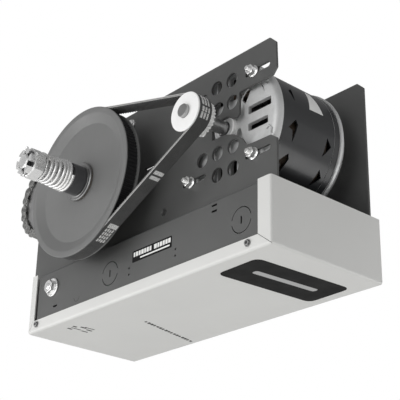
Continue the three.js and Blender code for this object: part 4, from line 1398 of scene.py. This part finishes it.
def sprockets():
    pitch = CHAIN["pitch"]
    roller = 3.95
    sprocket("pinion_wheel", CLUTCH, "clutch_shaft_assembly", "pinion_sprocket", sprocket_loop(pitch,
             CHAIN["pinion"], roller, DRIVE_RUN.phase_b), 13, CHAIN["y"], 7.2, 18, (-97, -89))
    sprocket("driven_wheel", OUTPUT, "output_assembly", "driven_sprocket", sprocket_loop(pitch,
             CHAIN["driven"], roller, DRIVE_RUN.phase_a), 13, CHAIN["y"], 7.2, 21, (-108, -92))
    sprocket("door_drive_wheel", OUTPUT, "output_assembly", "door_drive_sprocket",
             sprocket_loop(15.875, 12, 5.05), 13, -5, 9, 22, (-5, 12))
    small = LIMIT_CHAIN["pitch"], LIMIT_CHAIN["teeth"], 1.65
    y = LIMIT_CHAIN["y"]
    sprocket("limit_drive_wheel", OUTPUT, "output_assembly", "limit_drive_sprocket",
             sprocket_loop(*small, LIMIT_RUN.phase_a), 13, y, 2.8, 17.5, (42, y - 1))
    sprocket("limit_wheel", LIMIT, "limit_gear", "limit_sprocket",
             sprocket_loop(*small, LIMIT_RUN.phase_b), 4.3, y, 2.8, 9, (42, y - 1))


def plain_shafts():
    bar = lathe([(0, -112), (11.5, -112), (12.7, -110.5), (12.7, 86.5), (11.5, 88), (0, 88)], 96)
    make("output_shaft_bar", bar.at(OUTPUT["x"], 0, OUTPUT["z"]), "output_assembly", "steel",
         ["output_shaft"], bevel=0.0)
    screw = thread(4, 2, -49, 39, 40)
    ends = rod(3.4, -56, -48.5, 40) + rod(3.4, 38.5, 56, 40)
    make("limit_shaft_screw", (screw + ends).at(LIMIT["x"], 0, LIMIT["z"]), "limit_gear", "steel",
         ["limit_shaft"], bevel=0.0)


def bearings():
    """Flanged bearing housings with four screws each."""
    seats = (("near", PLATE["front"]), ("far", PLATE["back"] - PLATE["thickness"]))
    for side, mount in seats:
        base = mount - GAP
        body = lathe([(13, base), (30, base), (30, base - 3.6), (29.6, base - 4), (22.6, base - 5), (21.4,
                     base - 9.6), (21, base - 10), (13, base - 10)], 128)
        screws = []
        for k in range(4):
            angle = math.radians(45 + 90 * k)
            head = hexagon(2.9, base - 3.9, base - 6.2).tagged(1)
            screws.append(head.at(25.8 * math.cos(angle), 0, 25.8 * math.sin(angle)))
        whole = joined([body, *screws])
        for shaft, wheel in (("clutch", CLUTCH), ("output", OUTPUT)):
            make(f"{shaft}_bearing_{side}_housing", whole.at(wheel["x"], 0, wheel["z"]), "frame",
                 "cast_aluminium", [f"{shaft}_bearing_{side}"], bevel=0.3, paints=("cast_aluminium",
                 "zinc"))


# ---------------------------------------------------------------- belt and chains
def drive_belt():
    """A toothed belt: a tooth sits in each groove of both pulleys."""
    teeth = round(BELT_RUN.length / BELT["pitch"])
    step = BELT_RUN.length / teeth
    samples = []
    for k in range(teeth):
        for part, depth in ((0.1, 1.3), (0.24, 1.3), (0.31, 2.6), (0.69, 2.6), (0.76, 1.3), (0.9, 1.3)):
            point, out = BELT_RUN.at((k + part) * step)
            samples.append((tuple(point + out * 1.7), tuple(point - out * depth)))
    belt = band(samples, BELT["front"], BELT["back"])
    make("drive_belt_loop", belt, "frame", "belt_rubber", ["drive_belt"], bevel=0.12, angle=35)
    count = 240
    for name, outer, inner in (("outer", 1.78, 0.95), ("cord", 0.15, -0.5)):
        line = []
        for k in range(count):
            point, out = BELT_RUN.at(k * BELT_RUN.length / count)
            line.append((tuple(point + out * outer), tuple(point + out * inner)))
        edge = band(line, BELT["front"] - 0.06, BELT["front"] + 0.15)
        make(f"drive_belt_{name}_line", edge, "frame", "belt_rubber", bevel=0.0, paints=("belt_cord",))
    # Painted highlight: lighter strips on each tooth tip stand for the light the tips catch.
    tip_highlights = []
    for k in range(teeth):
        line = []
        for part, depth in ((0.36, 2.5), (0.36, 2.68), (0.64, 2.68), (0.64, 2.5)):
            point, out = BELT_RUN.at((k + part) * step)
            line.append(tuple(point - out * depth))
        tip_highlights.append(prism([line], BELT["front"] + 0.2, BELT["back"] - 0.2))
    make("drive_belt_tip_highlights", joined(tip_highlights), "frame", "belt_rubber", bevel=0.0, paints=("tooth_tip_highlight",))


def belt_patch(name, from_a, length, y0, y1, paint):
    """A printed block on the back of the belt, from_a millimetres along it after the big pulley."""
    steps = 4
    corners = []
    for i in range(steps + 1):
        point, out = BELT_RUN.at(BELT_RUN.arc_a + from_a + length * i / steps)
        for lift in (1.72, 1.8):
            spot = point + out * lift
            corners.append((spot.x, y0, spot.y))
            corners.append((spot.x, y1, spot.y))
    faces = [(0, 1, 3, 2)]
    for i in range(0, 4 * steps, 4):
        faces += [(i, i + 4, i + 5, i + 1), (i + 2, i + 3, i + 7, i + 6)]
        faces += [(i, i + 2, i + 6, i + 4), (i + 1, i + 5, i + 7, i + 3)]
    last = 4 * steps
    faces.append((last, last + 2, last + 3, last + 1))
    make(name, Shape(corners, faces), "frame", "belt_rubber", bevel=0.0, paints=(paint,))


def belt_print():
    """Plain ink blocks on the belt, standing for its size marking."""
    for i, (start, length) in enumerate(((104.5, 5.2), (112.6, 5.6))):
        belt_patch(f"belt_band_{i}", start, length, -127.6, -114.2, "worn_ink")
    belt_patch("belt_block_head", 18.5, 7.5, -126.6, -113.6, "worn_ink")
    for row in range(4):
        low = -126 + row * 3.1
        for k in range(4):
            start = -6 + k * 6.0 + (row % 2) * 0.8
            belt_patch(f"belt_block_{row}_{k}", start, 4.6, low, low + 2.1, "worn_ink")
    wrap = BELT_RUN.straight + BELT_SMALL * math.radians(30)
    for column, length in enumerate((7.5, 5.4, 8.0, 6.2, 4.6)):
        start = wrap + column * 7.7
        for row in range(3):
            low = -127.6 + row * 4.4 + (column % 2) * 0.5
            high = low + 3.0 - 0.4 * row
            belt_patch(f"belt_mark_{column}_{row}", start, min(length, 6.9), low, high, "worn_ink")


def chains():
    drive = DRIVE_RUN.shape(5.9, 4.6, 3.95, (3.95, 5.35), (5.5, 6.9), 1.95, 7.2, CHAIN["y"])
    make("drive_chain_links", drive, "frame", "chain_steel", ["drive_chain"], bevel=0.25,
         paints=("chain_steel", "chain_plate"))
    limit = LIMIT_RUN.shape(2.6, 2.0, 1.65, (1.6, 2.1), (2.2, 2.7), 0.9, 2.9, LIMIT_CHAIN["y"])
    make("limit_chain_links", limit, "frame", "chain_steel", ["limit_chain"], bevel=0.0,
         paints=("chain_steel", "chain_plate"))


# ---------------------------------------------------------------- pieces kept from the model
KEPT = {
    "limit_bracket": "zinc", "limit_nut_close": "grey_plastic", "limit_nut_open": "grey_plastic",
    "limit_switch_close": "black_plastic", "limit_switch_open": "black_plastic", "logic_board": "board",
    "transformer": "laminations", "motor_contactor": "black_plastic", "terminal_block": "grey_plastic",
    "run_capacitor": "black_plastic",
}


def dress_kept_nodes():
    for node, slot in KEPT.items():
        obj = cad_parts[node]
        obj.data.materials.clear()
        obj.data.materials.append(PAINT[slot])
        edge = obj.modifiers.new("edge", "BEVEL")
        edge.width = 0.4 * MM
        edge.segments = 2
        edge.limit_method = "ANGLE"


# ---------------------------------------------------------------- studio
def studio_floor():
    """A plain pale floor below the part, in metres."""
    size, height = 8.0, -0.95
    corners = [(-size, -size, height), (size, -size, height), (size, size, height), (-size, size, height)]
    mesh = bpy.data.meshes.new("studio_floor")
    mesh.from_pydata(corners, [], [(0, 1, 2, 3)])
    floor = bpy.data.objects.new("studio_floor", mesh)
    bpy.context.scene.collection.objects.link(floor)
    g = Graph("studio_paper", (0.86, 0.86, 0.85), 0.9)
    g.blotch(g.noise(3, 3), 0.4, 0.7, 0.3, (0.84, 0.84, 0.83))
    g.raise_by(g.noise(80, 3), 0.05, 0.2)
    mesh.materials.append(g.material)


def sky_fade(tree, height, low, high, to_low, to_high):
    """A strength that changes with the height of the ray's direction."""
    ramp = tree.nodes.new("ShaderNodeMapRange")
    limits = {"From Min": low, "From Max": high, "To Min": to_low, "To Max": to_high}
    for socket, limit in limits.items():
        ramp.inputs[socket].default_value = limit
    tree.links.new(height, ramp.inputs["Value"])
    return ramp.outputs["Result"]


def sky_choice(tree, chooser, usual, chosen):
    mix = tree.nodes.new("ShaderNodeMixShader")
    tree.links.new(chooser, mix.inputs["Fac"])
    tree.links.new(usual, mix.inputs[1])
    tree.links.new(chosen, mix.inputs[2])
    return mix.outputs["Shader"]


def studio_world():
    """White for the camera, soft light from above for surfaces, and a bright lower half in reflections."""
    world = bpy.data.worlds.new("studio")
    world.use_nodes = True
    bpy.context.scene.world = world
    tree = world.node_tree
    nodes, links = tree.nodes, tree.links
    output = next(n for n in nodes if n.type == "OUTPUT_WORLD")
    soft = next(n for n in nodes if n.type == "BACKGROUND")
    shine, seen = nodes.new("ShaderNodeBackground"), nodes.new("ShaderNodeBackground")
    for glow in (soft, shine, seen):
        glow.inputs["Color"].default_value = (1, 1, 1, 1)
    seen.inputs["Strength"].default_value = 1.0
    split = nodes.new("ShaderNodeSeparateXYZ")
    links.new(nodes.new("ShaderNodeTexCoord").outputs["Generated"], split.inputs["Vector"])
    height = split.outputs["Z"]
    links.new(sky_fade(tree, height, -0.3, 1.0, 0.0, 0.76), soft.inputs["Strength"])
    links.new(sky_fade(tree, height, -0.6, 0.7, 0.95, 0.2), shine.inputs["Strength"])
    paths = nodes.new("ShaderNodeLightPath")
    lit = sky_choice(tree, paths.outputs["Is Glossy Ray"], soft.outputs["Background"],
                     shine.outputs["Background"])
    final = sky_choice(tree, paths.outputs["Is Camera Ray"], lit, seen.outputs["Background"])
    links.new(final, output.inputs["Surface"])


TARGET = Vector((-0.01, -0.03, 0.12))


def softbox(name, location, size, power, target=TARGET):
    data = bpy.data.lights.new(name, "AREA")
    data.shape = "RECTANGLE"
    data.size, data.size_y = size
    data.energy = power
    lamp = bpy.data.objects.new(name, data)
    bpy.context.scene.collection.objects.link(lamp)
    lamp.location = location
    lamp.rotation_mode = "QUATERNION"
    lamp.rotation_quaternion = (target - Vector(location)).to_track_quat("-Z", "Y")


def lights():
    softbox("key_left", (-1.4, -1.5, 0.0), (1.0, 1.0), 10.1)
    softbox("key_front", (0.1, -1.9, 0.25), (1.5, 1.1), 12.0)
    softbox("under", (-0.1, -0.4, -0.47), (1.2, 1.0), 1.22)
    softbox("low_right", (0.85, 0.75, -0.42), (0.9, 0.7), 3.2, Vector((0.4, 0.35, 0.6)))
    softbox("rim_back", (1.2, 1.4, 0.4), (0.8, 0.8), 0.6)


def camera():
    """A long lens from the belt side, right of the part and below it, looking up."""
    azimuth, elevation, roll = 0.8495, -0.4259, 0.022
    data = bpy.data.cameras.new("camera")
    data.sensor_width = 36
    data.lens = 98.36
    data.clip_start = 0.05
    data.clip_end = 30
    cam = bpy.data.objects.new("camera", data)
    bpy.context.scene.collection.objects.link(cam)
    ahead = Vector((-math.sin(azimuth) * math.cos(elevation), math.cos(azimuth) * math.cos(elevation),
                    -math.sin(elevation)))
    right = ahead.cross(Vector((0, 0, 1))).normalized()
    up = right.cross(ahead)
    c, s = math.cos(roll), math.sin(roll)
    across = right * c + up * s
    upward = up * c - right * s
    basis = Matrix((across, upward, -ahead)).transposed().to_4x4()
    cam.matrix_world = Matrix.Translation((0.9592, -0.8349, -0.4266)) @ basis
    bpy.context.scene.camera = cam
    bpy.context.scene.view_settings.view_transform = "Standard"


# ---------------------------------------------------------------- build
cover_shell()
cover_labels()
cover_screws()
box_shell()
box_labels()
box_bolt()
near_plate()
plate_screw()
far_plate()
tie_rods()
motor_front_bell()
motor_shell()
motor_sticker()
motor_rear_bell()
motor_nuts()
motor_inside()
motor_pulley()
belt_pulley()
clutch_shaft()
clutch_discs()
clutch_spring()
castle_nut()
cotter_pin()
sprockets()
plain_shafts()
bearings()
drive_belt()
belt_print()
chains()
dress_kept_nodes()
studio_floor()
studio_world()
lights()
camera()
